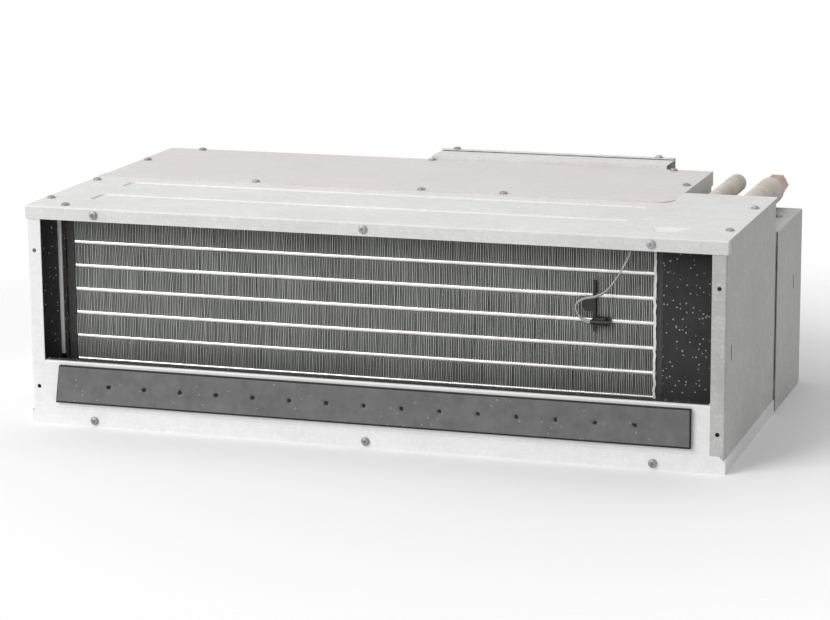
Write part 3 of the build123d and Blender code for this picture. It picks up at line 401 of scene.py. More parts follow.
# Near-black foam for the front strip's rims, sides and dimples: painted shade.
FOAM_PAINTED_SHADE = Moulded("foam_painted_shade", (0.016, 0.016, 0.016), 0.8, 0.2)
PIPE_FOAM = PipeFoam("cream_foam")
BLACK_PLASTIC = Moulded("black_plastic", (0.012, 0.012, 0.012), 0.35)
PAN_PLASTIC = Moulded("pan_plastic", (0.03, 0.03, 0.032), 0.5)
DRAIN_PLASTIC = Moulded("drain_plastic", (0.30, 0.31, 0.32), 0.45)
HOUSING_PLASTIC = Moulded("housing_plastic", (0.34, 0.345, 0.35), 0.48)
WHEEL_PLASTIC = Moulded("wheel_plastic", (0.035, 0.035, 0.037), 0.42)
RUBBER = Moulded("bush_rubber", (0.014, 0.014, 0.014), 0.7)
MOTOR_PAINT = Moulded("motor_paint", (0.07, 0.072, 0.076), 0.35, 0.01, 0.3)
BOARD = Moulded("coated_board", (0.02, 0.10, 0.045), 0.3, 0.01, 0.4)
TERMINAL = Moulded("terminal_plastic", (0.60, 0.60, 0.55), 0.4)
WIRE = Moulded("wire_skin", (0.50, 0.50, 0.47), 0.35, 0.01)

NODE_FINISHES = {
    FLANGE_STEEL: ("bottom_tray", "front_lower_plate", "left_side_panel"),
    STEEL: ("left_blanking_plate", "rear_section_side_panel", "pipe_plate", "rear_panel", "top_front_panel",
            "fan_deck", "motor_cradle", "motor_clamps", "control_box_case", "wiring_duct", "wiring_duct_lid"),
    SHADED_SIDE_STEEL: ("right_side_panel", "control_box_cover"),
    # The plates round the coil's ends take the painted shadow.
    SHADOWED_STEEL: ("right_blanking_plate", "coil_left_end_plate", "coil_right_end_plate",
                 "pipe_bay_partition"),
    REAR_STEEL: ("top_rear_panel",),
    FINS: ("coil_fins",),
    COPPER: ("coil_tubes", "left_return_bends", "right_return_bends", "gas_header", "gas_pipe",
             "liquid_distributor", "liquid_pipe"),
    BRASS: ("gas_flare_nut", "gas_union", "liquid_flare_nut"),
    ZINC: ("fan_shaft", "casing_screws"),
    BLACK_FOAM: ("left_blanking_foam", "right_blanking_foam", "coil_top_seal"),
    STRIP_FOAM: ("front_foam_strip",),
    PIPE_FOAM: ("gas_pipe_sleeve", "liquid_pipe_sleeve"),
    PAN_PLASTIC: ("drain_pan",),
    DRAIN_PLASTIC: ("drain_socket",),
    HOUSING_PLASTIC: ("left_fan_housing_upper", "left_fan_housing_lower", "right_fan_housing_upper",
                      "right_fan_housing_lower"),
    WHEEL_PLASTIC: ("left_fan_wheel", "right_fan_wheel"),
    MOTOR_PAINT: ("fan_motor",),
    RUBBER: ("motor_rubber_rings", "cable_bushes"),
    BOARD: ("circuit_board",),
    TERMINAL: ("terminal_block", "transformer", "fan_capacitor"),
    BLACK_PLASTIC: ("sensor_holder", "sensor_lead_clip", "sensor_bulb"),
    WIRE: ("sensor_lead",),
}


class Palette:
    """Every finish, made once."""

    made: dict = {}

    @classmethod
    def of(cls, finish: object) -> bpy.types.Material:
        """The material of a finish."""
        if finish not in cls.made:
            cls.made[finish] = finish.make()
        return cls.made[finish]


def only(piece: bpy.types.Object) -> None:
    """Selects one object and nothing else."""
    bpy.ops.object.select_all(action="DESELECT")
    piece.select_set(True)
    bpy.context.view_layer.objects.active = piece


def fresh() -> None:
    """Deselects everything before a primitive is added."""
    bpy.ops.object.select_all(action="DESELECT")


def active() -> bpy.types.Object:
    """The object just added."""
    return bpy.context.view_layer.objects.active


def applied(piece: bpy.types.Object) -> bpy.types.Object:
    """Puts an object's place, turn and scale into its mesh."""
    only(piece)
    bpy.ops.object.transform_apply(location=True, rotation=True, scale=True)
    return piece


def modify(piece: bpy.types.Object, kind: str, **settings: object) -> None:
    """Adds a modifier and applies it.

    Args:
        piece: the object.
        kind: the modifier's type.
        settings: its attributes.
    """
    only(piece)
    modifier = piece.modifiers.new(kind.lower(), kind)
    for key, value in settings.items():
        setattr(modifier, key, value)
    bpy.ops.object.modifier_apply(modifier=modifier.name)


def joined(pieces: list[bpy.types.Object]) -> bpy.types.Object:
    """Joins several objects into the first."""
    fresh()
    for piece in pieces:
        piece.select_set(True)
    bpy.context.view_layer.objects.active = pieces[0]
    bpy.ops.object.join()
    return pieces[0]


@contextmanager
def editing() -> Iterator[None]:
    """Edit mode on the active object with everything selected, then object mode again."""
    bpy.ops.object.mode_set(mode="EDIT")
    bpy.ops.mesh.select_all(action="SELECT")
    yield
    bpy.ops.object.mode_set(mode="OBJECT")


def placed(name: str, data: bpy.types.ID) -> bpy.types.Object:
    """A new object in the scene with this data."""
    made = bpy.data.objects.new(name, data)
    bpy.context.scene.collection.objects.link(made)
    return made


def copied(model: bpy.types.Object, move: Matrix) -> bpy.types.Object:
    """A copy of an object with its own mesh, moved by a matrix."""
    copy = model.copy()
    copy.data = model.data.copy()
    bpy.context.scene.collection.objects.link(copy)
    copy.data.transform(move)
    return copy


def tube(radius: float, start: Vector, end: Vector, sides: int = 24) -> bpy.types.Object:
    """Closed round bar between two points.

    Args:
        radius: its radius in metres.
        start: middle of one end.
        end: middle of the other end.
        sides: sides of its outline.

    Returns:
        The object, its place in its mesh.
    """
    fresh()
    run = end - start
    bpy.ops.mesh.primitive_cylinder_add(vertices=sides, radius=radius, depth=run.length,
                                        location=(start + end) / 2,
                                        rotation=run.to_track_quat("Z", "Y").to_euler())
    return applied(active())


def block(size: Triple, middle: Triple, turn: float = 0.0) -> bpy.types.Object:
    """Box with its place in its mesh.

    Args:
        size: its X, Y and Z in metres.
        middle: its middle.
        turn: its turn about Z in radians.

    Returns:
        The box.
    """
    fresh()
    bpy.ops.mesh.primitive_cube_add(size=1, location=middle, rotation=(0, 0, turn))
    box = active()
    box.scale = size
    return applied(box)


def upright_grid(columns: int, rows: int, size: tuple[float, float], middle: Triple) -> bpy.types.Object:
    """Grid that stands upright along X, with its place in its mesh.

    Args:
        columns: faces along X.
        rows: faces upwards.
        size: its width and height in metres.
        middle: its middle.

    Returns:
        The grid.
    """
    fresh()
    bpy.ops.mesh.primitive_grid_add(x_subdivisions=columns, y_subdivisions=rows, size=1, location=middle,
                                    rotation=(math.pi / 2, 0, 0))
    grid = active()
    grid.scale = (*size, 1)
    return applied(grid)


def casing_shift() -> Vector:
    """Shift from the casing's own frame to the shared one, read off the lead's clip."""
    low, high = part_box("sensor_lead_clip")
    return Vector(((low.x + high.x) / 2 - CLIP_PLACE[0] * MM, (low.y + high.y) / 2 - CLIP_PLACE[1] * MM, 0))


def settle(piece: bpy.types.Object, name: str, finish: object, body: str = CASING,
           replaces: tuple[str, ...] = (), angle: float = 35.0) -> bpy.types.Object:
    """Names, dresses and seats a finished piece.

    Args:
        piece: the object.
        name: the piece's name.
        finish: its finish.
        body: the body that it rides on.
        replaces: the CAD nodes that it stands for.
        angle: edges flatter than this many degrees are shaded smooth.

    Returns:
        The piece.
    """
    piece.name = name
    piece.data.name = name
    piece.data.materials.clear()
    piece.data.materials.append(Palette.of(finish))
    only(piece)
    bpy.ops.object.shade_smooth_by_angle(angle=math.radians(angle))
    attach(piece, body)
    if replaces:
        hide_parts(*replaces)
    log.info("%s: %d faces on %s", name, len(piece.data.polygons), body)
    return piece


@dataclass
class Coil:
    """Fins with a notch at each front tube, and the round tubes through them."""

    pitch: float = 25.4 * MM
    first_share: float = 0.75
    column_pitch: float = 22.0 * MM
    margin: float = 5.0 * MM
    tube_radius: float = 3.5 * MM
    rows: int = 8
    fin_pitch: float = 1.8 * MM
    fin_thickness: float = 0.62 * MM
    notch_half: float = 2.3 * MM
    notch_depth: float = 9.5 * MM
    lean: float = 0.55 * MM

    def __post_init__(self) -> None:
        """Takes the coil's box from the frame."""
        self.low, self.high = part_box("coil_fins")

    def row_z(self, row: int, column: int) -> float:
        """Height of a tube."""
        return self.low.z + (self.first_share + row - 0.5 * column) * self.pitch

    def fin(self) -> bpy.types.Object:
        """One fin: a thin blank, cut at each notch and bent later."""
        fresh()
        size, middle = self.high - self.low, (self.low + self.high) / 2
        bpy.ops.mesh.primitive_plane_add(size=1, rotation=(0, math.pi / 2, 0),
                                         location=(self.low.x + self.fin_pitch / 2, middle.y, middle.z))
        fin = active()
        fin.scale = (size.z, size.y, 1)
        applied(fin)
        bpy.ops.object.mode_set(mode="EDIT")
        cuts = [((0, self.low.y + self.notch_depth, 0), (0, 1, 0))]
        heights = [self.row_z(row, 0) for row in range(self.rows)]
        for z in heights:
            cuts += [((0, 0, z + side * self.notch_half), (0, 0, 1)) for side in (-1, 1)]
            cuts.append(((0, 0, z + self.pitch / 2), (0, 0, 1)))
        for place, normal in cuts:
            bpy.ops.mesh.select_all(action="SELECT")
            bpy.ops.mesh.bisect(plane_co=place, plane_no=normal)
        bpy.ops.mesh.select_all(action="DESELECT")
        bpy.ops.object.mode_set(mode="OBJECT")
        for face in fin.data.polygons:
            near = face.center.y < self.low.y + self.notch_depth
            at_tube = any(abs(face.center.z - z) < self.notch_half for z in heights)
            face.select = near and at_tube
        bpy.ops.object.mode_set(mode="EDIT")
        bpy.ops.mesh.select_mode(type="FACE")
        bpy.ops.mesh.delete(type="FACE")
        bpy.ops.object.mode_set(mode="OBJECT")
        modify(fin, "SOLIDIFY", thickness=self.fin_thickness, offset=0)
        return fin

    def fins(self) -> None:
        """The pack: one fin repeated, each leaning a little at its front edge."""
        pack = self.fin()
        count = int((self.high.x - self.low.x) / self.fin_pitch)
        modify(pack, "ARRAY", count=count, use_relative_offset=False, use_constant_offset=True,
               constant_offset_displace=(self.fin_pitch, 0, 0))
        depth = self.notch_depth
        for vertex in pack.data.vertices:
            share = max(0.0, 1 - (vertex.co.y - self.low.y) / depth)
            index = round((vertex.co.x - self.low.x) / self.fin_pitch)
            patch = noise.noise(Vector((vertex.co.x * 60, 0, vertex.co.z * 45)))
            single = noise.noise(Vector((index * 7.31, 3.7, vertex.co.z * 30)))
            vertex.co.x += share * self.lean * (1.1 * patch + 0.9 * single)
        settle(pack, "coil_fin_pack", FINS, replaces=("coil_fins",), angle=20)

    def tubes(self) -> None:
        """Round tubes through both columns."""
        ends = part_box("coil_tubes")
        bars = []
        for column in (0, 1):
            for row in range(self.rows):
                y = self.low.y + self.margin + column * self.column_pitch
                z = self.row_z(row, column)
                bars.append(tube(self.tube_radius, Vector((ends[0].x, y, z)), Vector((ends[1].x, y, z))))
        settle(joined(bars), "coil_round_tubes", BRIGHT_TUBE, replaces=("coil_tubes",))

    def build(self) -> None:
        """Makes the coil's pieces."""
        self.fins()
        self.tubes()


@dataclass
class FrontStrip:
    """Foam strip on the front plate, with slanted ends and a row of dimples; its rims, sides and dimples are
    painted near-black as shade.
    """

    columns: int = 640
    rows: int = 40
    dimples: int = 15
    first_dimple: float = 61.0 * MM
    last_dimple: float = 630.0 * MM
    dimple_height: float = 20.2 * MM
    dimple_radius: float = 3.4 * MM
    dimple_depth: float = 2.4 * MM
    shade_rim: float = 1.3 * MM
    lower_edge: float = 2.4 * MM
    slant: float = 5.0 * MM
    ripple: float = 0.25 * MM
    wander: float = 0.9 * MM
    fall_off: float = 1.6
    border: float = 2 * MM
    round_off: float = 0.8 * MM
    dimple_shade_share: float = 0.62

    def build(self) -> None:
        """Makes the strip from a grid: dimpled, slanted, then given its thickness."""
        low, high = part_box("front_foam_strip")
        size = high - low
        strip = upright_grid(self.columns, self.rows, (size.x, size.z),
                             ((low.x + high.x) / 2, low.y, (low.z + high.z) / 2))
        spacing = (self.last_dimple - self.first_dimple) / (self.dimples - 1)
        for vertex in strip.data.vertices:
            along = vertex.co.x - low.x
            up = vertex.co.z - low.z
            nearest = round((along - self.first_dimple) / spacing)
            middle = self.first_dimple + max(0, min(self.dimples - 1, nearest)) * spacing
            wander = self.wander * noise.noise(Vector((nearest * 3.1, 0.5, 0)))
            away = math.hypot(along - middle, up - self.dimple_height - wander) / self.dimple_radius
            depth = self.dimple_depth * math.exp(-away ** 2 * self.fall_off)
            wave = self.ripple * (1 + noise.noise(Vector((along * 30, up * 40, 0))))
            border = min(along, size.x - along, up, size.z - up) / self.border
            round_off = self.round_off * max(0.0, 1 - border) ** 2
            vertex.co.y += depth + wave + round_off
            left_share = max(0.0, 1 - along / (0.5 * size.x))
            vertex.co.x += self.slant * (up / size.z) * left_share
        with editing():
            bpy.ops.mesh.region_to_loop()
            bpy.ops.mesh.extrude_edges_move(
                TRANSFORM_OT_translate={"value": (0, size.y - 2 * self.ripple, 0)})
            bpy.ops.transform.resize(value=(1, 0, 1), center_override=(0, high.y, 0))
            bpy.ops.mesh.edge_face_add()
            bpy.ops.mesh.select_all(action="SELECT")
            bpy.ops.mesh.normals_make_consistent(inside=False)
        settle(strip, "dimpled_foam_strip", STRIP_FOAM, replaces=("front_foam_strip",),
               angle=50)
        strip.data.materials.append(Palette.of(FOAM_PAINTED_SHADE))
        # Painted shade: faces along the rims, on the sides and in the middle of each dimple take the
        # near-black foam, where the strip's outline and dimples fall in shade.
        for face in strip.data.polygons:
            along = face.center.x - low.x
            up = face.center.z - low.z
            slanted = self.slant * (up / size.z)
            at_side = min(along - slanted, size.x - along) < self.shade_rim
            at_edge = up < self.lower_edge or size.z - up < self.shade_rim
            nearest = max(0, min(self.dimples - 1, round((along - self.first_dimple) / spacing)))
            away = math.hypot(along - self.first_dimple - nearest * spacing, up - self.dimple_height)
            ragged = self.wander * noise.noise(face.center * 400)
            in_dimple = away < self.dimple_shade_share * self.dimple_radius + ragged
            face.material_index = int(at_side or at_edge or in_dimple or abs(face.normal.y) < 0.5)


@dataclass
class Surrounds:
    """Foam beside the coil, a black seal of painted shade in the left gap, the bright edge of the last fins
    and the dark strip on the plate's lip.
    """

    grid: float = 2.5 * MM
    ripple: float = 0.35 * MM
    foam_drop: float = 9.0 * MM
    edge_width: float = 2.6 * MM
    edge_stand: float = 0.6 * MM
    edge_thickness: float = 0.3 * MM
    crumple_depth: float = 0.55 * MM
    crumple_width: float = 1.1 * MM
    dark_strip: float = 0.5 * MM
    dark_strip_width: float = 8.8 * MM
    dark_strip_back: float = 7.6 * MM
    dark_strip_short: float = 6 * MM
    shade_seal_depth: float = 3 * MM
    shade_seal_front: float = 3.5 * MM
    shade_seal_gaps: tuple[float, float] = (0.4 * MM, 0.2 * MM)

    def foam(self, node: str, name: str) -> None:
        """Foam facing with an uneven skin, a little longer downwards than the CAD's.

        Args:
            node: the CAD foam.
            name: the piece's name.
        """
        low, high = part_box(node)
        size = high - low
        columns, rows = round(size.x / self.grid), round((size.z + self.foam_drop) / self.grid)
        sheet = upright_grid(columns, rows, (size.x, size.z + self.foam_drop),
                             ((low.x + high.x) / 2, low.y, (low.z + high.z - self.foam_drop) / 2))
        for vertex in sheet.data.vertices:
            vertex.co.y += self.ripple * (1 + noise.noise(Vector((vertex.co.x * 90, vertex.co.z * 90, 0.4))))
        modify(sheet, "SOLIDIFY", thickness=size.y - 2 * self.ripple, offset=-1)
        settle(sheet, name, BLACK_FOAM, replaces=(node,), angle=50)

    def bright_edge(self) -> None:
        """Crumpled bright edge of the last fins at the coil's right end."""
        low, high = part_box("coil_fins")
        edge = upright_grid(3, 140, (self.edge_width, high.z - low.z),
                            (high.x - self.edge_width / 2, low.y - self.edge_stand, (low.z + high.z) / 2))
        for vertex in edge.data.vertices:
            crumple = noise.noise(Vector((vertex.co.x * 300, 0.2, vertex.co.z * 190)))
            vertex.co.y += self.crumple_depth * crumple
            vertex.co.x += self.crumple_width * noise.noise(Vector((0.7, 0.1, vertex.co.z * 160)))
        modify(edge, "SOLIDIFY", thickness=self.edge_thickness, offset=0)
        settle(edge, "crumpled_fin_edge", FLANGE_STEEL, angle=15)

    def lip_dark_strip(self) -> None:
        """Black strip on the lower plate's lip, behind its bright front edge, which makes the lip dark."""
        low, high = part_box("front_lower_plate")
        # The black strip darkens the lip's top behind its front edge.
        dark_strip = block((high.x - low.x - self.dark_strip_short, self.dark_strip_width, self.dark_strip),
                     (0.5 * (low.x + high.x), low.y + self.dark_strip_back, high.z + self.dark_strip / 2))
        modify(dark_strip, "BEVEL", width=0.2 * MM, segments=2)
        settle(dark_strip, "lip_dark_strip", BLACK_FOAM)

    def gap_shade_seal(self) -> None:
        """Black foam that closes the gap between the left facing and the coil's end plate: a seal, and
        painted shade for the deep shade in that gap.
        """
        plate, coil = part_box("left_blanking_plate"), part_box("coil_left_end_plate")
        left, right = plate[1].x + self.shade_seal_gaps[0], coil[0].x - self.shade_seal_gaps[1]
        front = coil[0].y - self.shade_seal_front
        # Painted shade: the black block hides the return bends, which sit in deep shade in this gap.
        shade_seal = block((right - left, self.shade_seal_depth, plate[1].z - plate[0].z + self.foam_drop),
                     ((left + right) / 2, front + self.shade_seal_depth / 2,
                      (plate[0].z + plate[1].z) / 2 - self.foam_drop / 2))
        modify(shade_seal, "BEVEL", width=0.6 * MM, segments=2)
        settle(shade_seal, "left_gap_shade_seal", BLACK_FOAM)

    def build(self) -> None:
        """Makes the foam facings, the seal of painted shade in the left gap, the edge and the dark strip on
        the lip.
        """
        self.gap_shade_seal()
        self.foam("left_blanking_foam", "left_foam_facing")
        self.foam("right_blanking_foam", "right_foam_facing")
        self.bright_edge()
        self.lip_dark_strip()


@dataclass
class Fasteners:
    """Washer-head screws with a cross recess, one at each screw of the frame."""

    flats: float = 7.0 * MM
    head: float = 2.4 * MM
    washer_radius: float = 4.7 * MM
    washer: float = 0.9 * MM
    recess: float = 1.2 * MM
    recess_length: float = 3.6 * MM
    recess_width: float = 0.9 * MM
    cad_length: float = 6.6 * MM
    cad_head: float = 2.6 * MM
    turn_step: float = 0.7

    def places(self) -> list[tuple[Vector, Direction]]:
        """Finds each screw of the frame: the middle of its seat, and where its head faces.

        Returns:
            A list of seat and direction.
        """
        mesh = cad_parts["casing_screws"].data
        keys = [tuple(round(c, 5) for c in vertex.co) for vertex in mesh.vertices]
        parent = {key: key for key in keys}

        def root(key: tuple) -> tuple:
            """The key that stands for a group."""
            while parent[key] != key:
                parent[key] = parent[parent[key]]
                key = parent[key]
            return key

        for face in mesh.polygons:
            corners = [keys[i] for i in face.vertices]
            for corner in corners[1:]:
                parent[root(corner)] = root(corners[0])
        groups: dict = {}
        for key in parent:
            groups.setdefault(root(key), []).append(Vector(key))
        found = []
        for points in groups.values():
            low = Vector([min(p[i] for p in points) for i in range(3)])
            high = Vector([max(p[i] for p in points) for i in range(3)])
            found.append(self.seat_of(low, high, points))
        return sorted(found, key=lambda item: tuple(item[0]))

    def seat_of(self, low: Vector, high: Vector, points: list[Vector]) -> tuple[Vector, Direction]:
        """Seat and direction of one screw from its corners.

        Args:
            low: lowest corner of its box.
            high: highest corner.
            points: its corners.

        Returns:
            The middle of its seat, and where its head faces.
        """
        middle = (low + high) / 2
        best = None
        for direction in Direction:
            axis = Vector(direction.value)
            tip = max(p.dot(axis) for p in points)
            top = [p for p in points if p.dot(axis) > tip - 0.1 * MM]
            spread = max((p - q).length for p in top for q in top)
            length = tip - min(p.dot(axis) for p in points)
            if abs(length - self.cad_length) < 0.2 * MM and (best is None or spread > best[0]):
                best = (spread, direction, middle + axis * (tip - middle.dot(axis) - self.cad_head))
        return best[2], best[1]

    def model(self) -> bpy.types.Object:
        """One screw head, standing on the origin."""
        fresh()
        bpy.ops.mesh.primitive_cylinder_add(vertices=24, radius=self.washer_radius, depth=self.washer,
                                            location=(0, 0, self.washer / 2))
        washer = applied(active())
        modify(washer, "BEVEL", width=0.3 * MM, segments=2, limit_method="ANGLE")
        fresh()
        bpy.ops.mesh.primitive_cylinder_add(vertices=6, radius=self.flats / math.sqrt(3), depth=self.head,
                                            location=(0, 0, self.head / 2))
        head = applied(active())
        modify(head, "BEVEL", width=0.45 * MM, segments=2, limit_method="ANGLE")
        size = (self.recess_length, self.recess_width, 2 * self.recess)
        bars = [block(size, (0, 0, self.head), turn) for turn in (0.25 * math.pi, 0.75 * math.pi)]
        for bar in bars:
            modify(head, "BOOLEAN", operation="DIFFERENCE", object=bar, solver="EXACT")
            bpy.data.objects.remove(bar)
        return joined([head, washer])

    def build(self) -> None:
        """Copies the head to every seat."""
        model = self.model()
        copies = []
        for index, (seat, direction) in enumerate(self.places()):
            turn = Vector(direction.value).to_track_quat("Z", "Y").to_matrix().to_4x4()
            spin = Matrix.Rotation(self.turn_step * index, 4, "Z")
            copies.append(copied(model, Matrix.Translation(seat) @ turn @ spin))
        bpy.data.objects.remove(model)
        log.info("screws found: %d", len(copies))
        settle(joined(copies), "washer_head_screws", ZINC, replaces=("casing_screws",),
               angle=30)


@dataclass
class FanWheel:
    """Forward-curved wheel: its blades between two rings, a middle disc and a hub on the shaft."""

    side: str
    blades: int = 44
    chord: float = 12.0 * MM
    lead: float = 7.0 * MM
    thickness: float = 1.0 * MM
    ring_width: float = 3.0 * MM
    disc: float = 2.0 * MM
    hub_radius: float = 11.0 * MM
    hub_half: float = 11.0 * MM
    hub_wall: float = 1 * MM
    bore_radius: float = 4.02 * MM
    blade_inset: float = 0.6 * MM
    disc_inset: float = 1.5 * MM
    curve: float = 1.8
    steps: int = 5

    def blade(self, low: Vector, high: Vector, radius: float) -> bpy.types.Object:
        """One blade: a flat strip along the axis, curved in cross-section and given its thickness.

        Args:
            low: lowest corner of the wheel's box.
            high: highest corner.
            radius: the wheel's outer radius.

        Returns:
            The blade at the top of the wheel.
        """
        middle = (low + high) / 2
        blade = upright_grid(1, self.steps, (high.x - low.x - self.ring_width, self.chord),
                             (middle.x, middle.y, middle.z + radius - self.chord / 2))
        for vertex in blade.data.vertices:
            share = max(0.0, (vertex.co.z - middle.z - radius + self.chord) / self.chord)
            vertex.co.y += self.lead * share ** self.curve
        modify(blade, "SOLIDIFY", thickness=self.thickness, offset=0)
        return blade

    def ring(self, x: float, middle: Vector, outer: float, width: float, inner: float) -> bpy.types.Object:
        """Flat ring round the axis.

        Args:
            x: X of its middle.
            middle: the wheel's middle.
            outer: outer radius.
            width: width along the axis.
            inner: inner radius.

        Returns:
            The ring.
        """
        fresh()
        bpy.ops.mesh.primitive_circle_add(vertices=72, radius=outer, fill_type="NOTHING",
                                          location=(x - width / 2, middle.y, middle.z),
                                          rotation=(0, math.pi / 2, 0))
        ring = applied(active())
        share = inner / outer
        with editing():
            bpy.ops.mesh.extrude_edges_move()
            bpy.ops.transform.resize(value=(1, share, share), center_override=(x, middle.y, middle.z))
        modify(ring, "SOLIDIFY", thickness=width, offset=1)
        with editing():
            bpy.ops.mesh.normals_make_consistent(inside=False)
        low = min(vertex.co.x for vertex in ring.data.vertices)
        ring.data.transform(Matrix.Translation((x - width / 2 - low, 0, 0)))
        return ring

    def build(self) -> None:
        """Makes the wheel and puts it in the CAD wheel's place."""
        node = f"{self.side}_fan_wheel"
        low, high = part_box(node)
        middle = (low + high) / 2
        radius = (high.z - low.z) / 2
        first = self.blade(low, high, radius - self.blade_inset)
        pieces = [first]
        for index in range(1, self.blades):
            turn = Matrix.Rotation(2 * math.pi * index / self.blades, 4, "X")
            pieces.append(copied(first, Matrix.Translation(middle) @ turn @ Matrix.Translation(-middle)))
        inner = radius - self.chord
        half = self.ring_width / 2
        for x in (low.x + half, high.x - half):
            pieces.append(self.ring(x, middle, radius, self.ring_width, inner + self.chord / 3))
        pieces.append(self.ring(middle.x, middle, radius - self.disc_inset, self.disc, self.hub_radius))
        hub = self.ring(middle.x, middle, self.hub_radius + self.hub_wall, 2 * self.hub_half,
                        self.bore_radius)
        modify(hub, "BEVEL", width=0.8 * MM, segments=2, limit_method="ANGLE")
        pieces.append(hub)
        settle(joined(pieces), f"{self.side}_bladed_wheel", WHEEL_PLASTIC, "fan_rotor",
               (node,), 40)


@dataclass
class ScrollShell:
    """Smooth scroll round a fan wheel: its curved wall, two cheeks, inlet rings and a seam flange."""

    side: str
    wall: float = 2.0 * MM
    steps: int = 60
    tongue: float = math.radians(150.0)
    end: float = math.radians(450.0)
    tongue_gap: float = 7.0 * MM
    outlet_radius: float = 108.0 * MM
    inlet_radius: float = 64.0 * MM
    inlet_lip: float = 5.0 * MM
    lip_radius: float = 2.4 * MM
    lip_out: float = 1.6 * MM
    lip_wider: float = 1 * MM
    tongue_drop: float = 4 * MM
    scroll_share: float = 1.15
    seam_reach: float = 7.0 * MM
    seam_half: float = 2.0 * MM

    def __post_init__(self) -> None:
        """Takes the shell's place from the frame."""
        self.nodes = (f"{self.side}_fan_housing_lower", f"{self.side}_fan_housing_upper")
        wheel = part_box(f"{self.side}_fan_wheel")
        self.middle = (wheel[0] + wheel[1]) / 2
        self.start = (wheel[1].z - wheel[0].z) / 2 + self.tongue_gap
        self.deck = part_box(self.nodes[0])[0].y
        low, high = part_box(self.nodes[0])
        self.left, self.right = low.x + self.inlet_lip, high.x - self.inlet_lip

    def point(self, radius: float, angle: float) -> tuple[float, float]:
        """Y and Z of a point round the axis."""
        return self.middle.y + radius * math.cos(angle), self.middle.z + radius * math.sin(angle)

    def scroll_radius(self, angle: float) -> float:
        """Radius of the scroll at an angle."""
        share = (angle - self.tongue) / (self.end - self.tongue)
        return self.start + (self.outlet_radius - self.start) * share

    def mouth_radius(self, angle: float) -> float:
        """Distance from the axis to the top wall or the mouth, above the tongue."""
        to_top = self.outlet_radius / math.sin(angle)
        to_mouth = (self.middle.y - self.deck) / max(1e-6, -math.cos(angle))
        return min(to_top, to_mouth)

    def sheet(self, columns: int, rows: int, shape: Callable[[float, float], Triple]) -> bpy.types.Object:
        """A grid laid out by a function of two shares.

        Args:
            columns: faces along.
            rows: faces across.
            shape: gives X, Y and Z for shares from nought to one.

        Returns:
            The sheet.
        """
        fresh()
        bpy.ops.mesh.primitive_grid_add(x_subdivisions=columns, y_subdivisions=rows, size=1)
        sheet = active()
        for vertex in sheet.data.vertices:
            vertex.co = shape(vertex.co.x + 0.5, vertex.co.y + 0.5)
        return sheet

    def curved_wall(self, along: float, across: float) -> tuple[float, float, float]:
        """Point of the curved wall, from the tongue round to the top of the mouth."""
        x = self.left + (self.right - self.left) * across
        turn = min(1.0, along * self.scroll_share)
        angle = self.tongue + (self.end - self.tongue) * turn
        y, z = self.point(self.scroll_radius(angle), angle)
        past = max(0.0, along * self.scroll_share - 1) / (self.scroll_share - 1)
        return x, y + (self.deck - y) * past, z

    def cheek(self, x: float) -> list[bpy.types.Object]:
        """One flat cheek with its round inlet.

        Args:
            x: where it stands.

        Returns:
            Its sheets.
        """
        def round_part(along: float, across: float) -> tuple[float, float, float]:
            """Part from the tongue round to the top."""
            angle = self.tongue + (self.end - self.tongue) * along
            outer = self.scroll_radius(angle)
            return (x, *self.point(self.inlet_radius + (outer - self.inlet_radius) * across, angle))

        def mouth_part(along: float, across: float) -> tuple[float, float, float]:
            """Part between the top and the tongue."""
            angle = math.radians(90) + (self.tongue - math.radians(90)) * along
            outer = self.mouth_radius(angle)
            return (x, *self.point(self.inlet_radius + (outer - self.inlet_radius) * across, angle))

        def tongue_part(along: float, across: float) -> tuple[float, float, float]:
            """Triangle between the tongue and the mouth."""
            tip = self.point(self.start, self.tongue)
            upper = self.point(self.mouth_radius(self.tongue), self.tongue)
            lower = (self.deck, tip[1] - self.tongue_drop)
            edge = [upper[i] + (lower[i] - upper[i]) * across for i in (0, 1)]
            return (x, *(tip[i] + (edge[i] - tip[i]) * along for i in (0, 1)))

        return [self.sheet(self.steps, 3, round_part), self.sheet(16, 3, mouth_part),
                self.sheet(2, 2, tongue_part)]

    def build(self) -> None:
        """Makes the shell in the place of both CAD halves."""
        pieces = [self.sheet(self.steps + 9, 6, self.curved_wall)]
        pieces += self.cheek(self.left) + self.cheek(self.right)
        for piece in pieces:
            modify(piece, "SOLIDIFY", thickness=self.wall, offset=0)
        for x, way in ((self.left, -1), (self.right, 1)):
            fresh()
            bpy.ops.mesh.primitive_torus_add(major_segments=96, minor_segments=14,
                                             major_radius=self.inlet_radius + self.lip_wider,
                                             minor_radius=self.lip_radius, rotation=(0, math.pi / 2, 0),
                                             location=(x + way * self.lip_out, self.middle.y, self.middle.z))
            pieces.append(applied(active()))
        reach = self.scroll_radius(math.radians(360))
        seam = block((self.right - self.left, self.seam_reach, 2 * self.seam_half),
                     ((self.left + self.right) / 2, self.middle.y + reach + self.seam_reach / 2,
                      self.middle.z))
        modify(seam, "BEVEL", width=0.8 * MM, segments=2)
        pieces.append(seam)
        settle(joined(pieces), f"{self.side}_scroll_shell", HOUSING_PLASTIC,
               replaces=self.nodes)


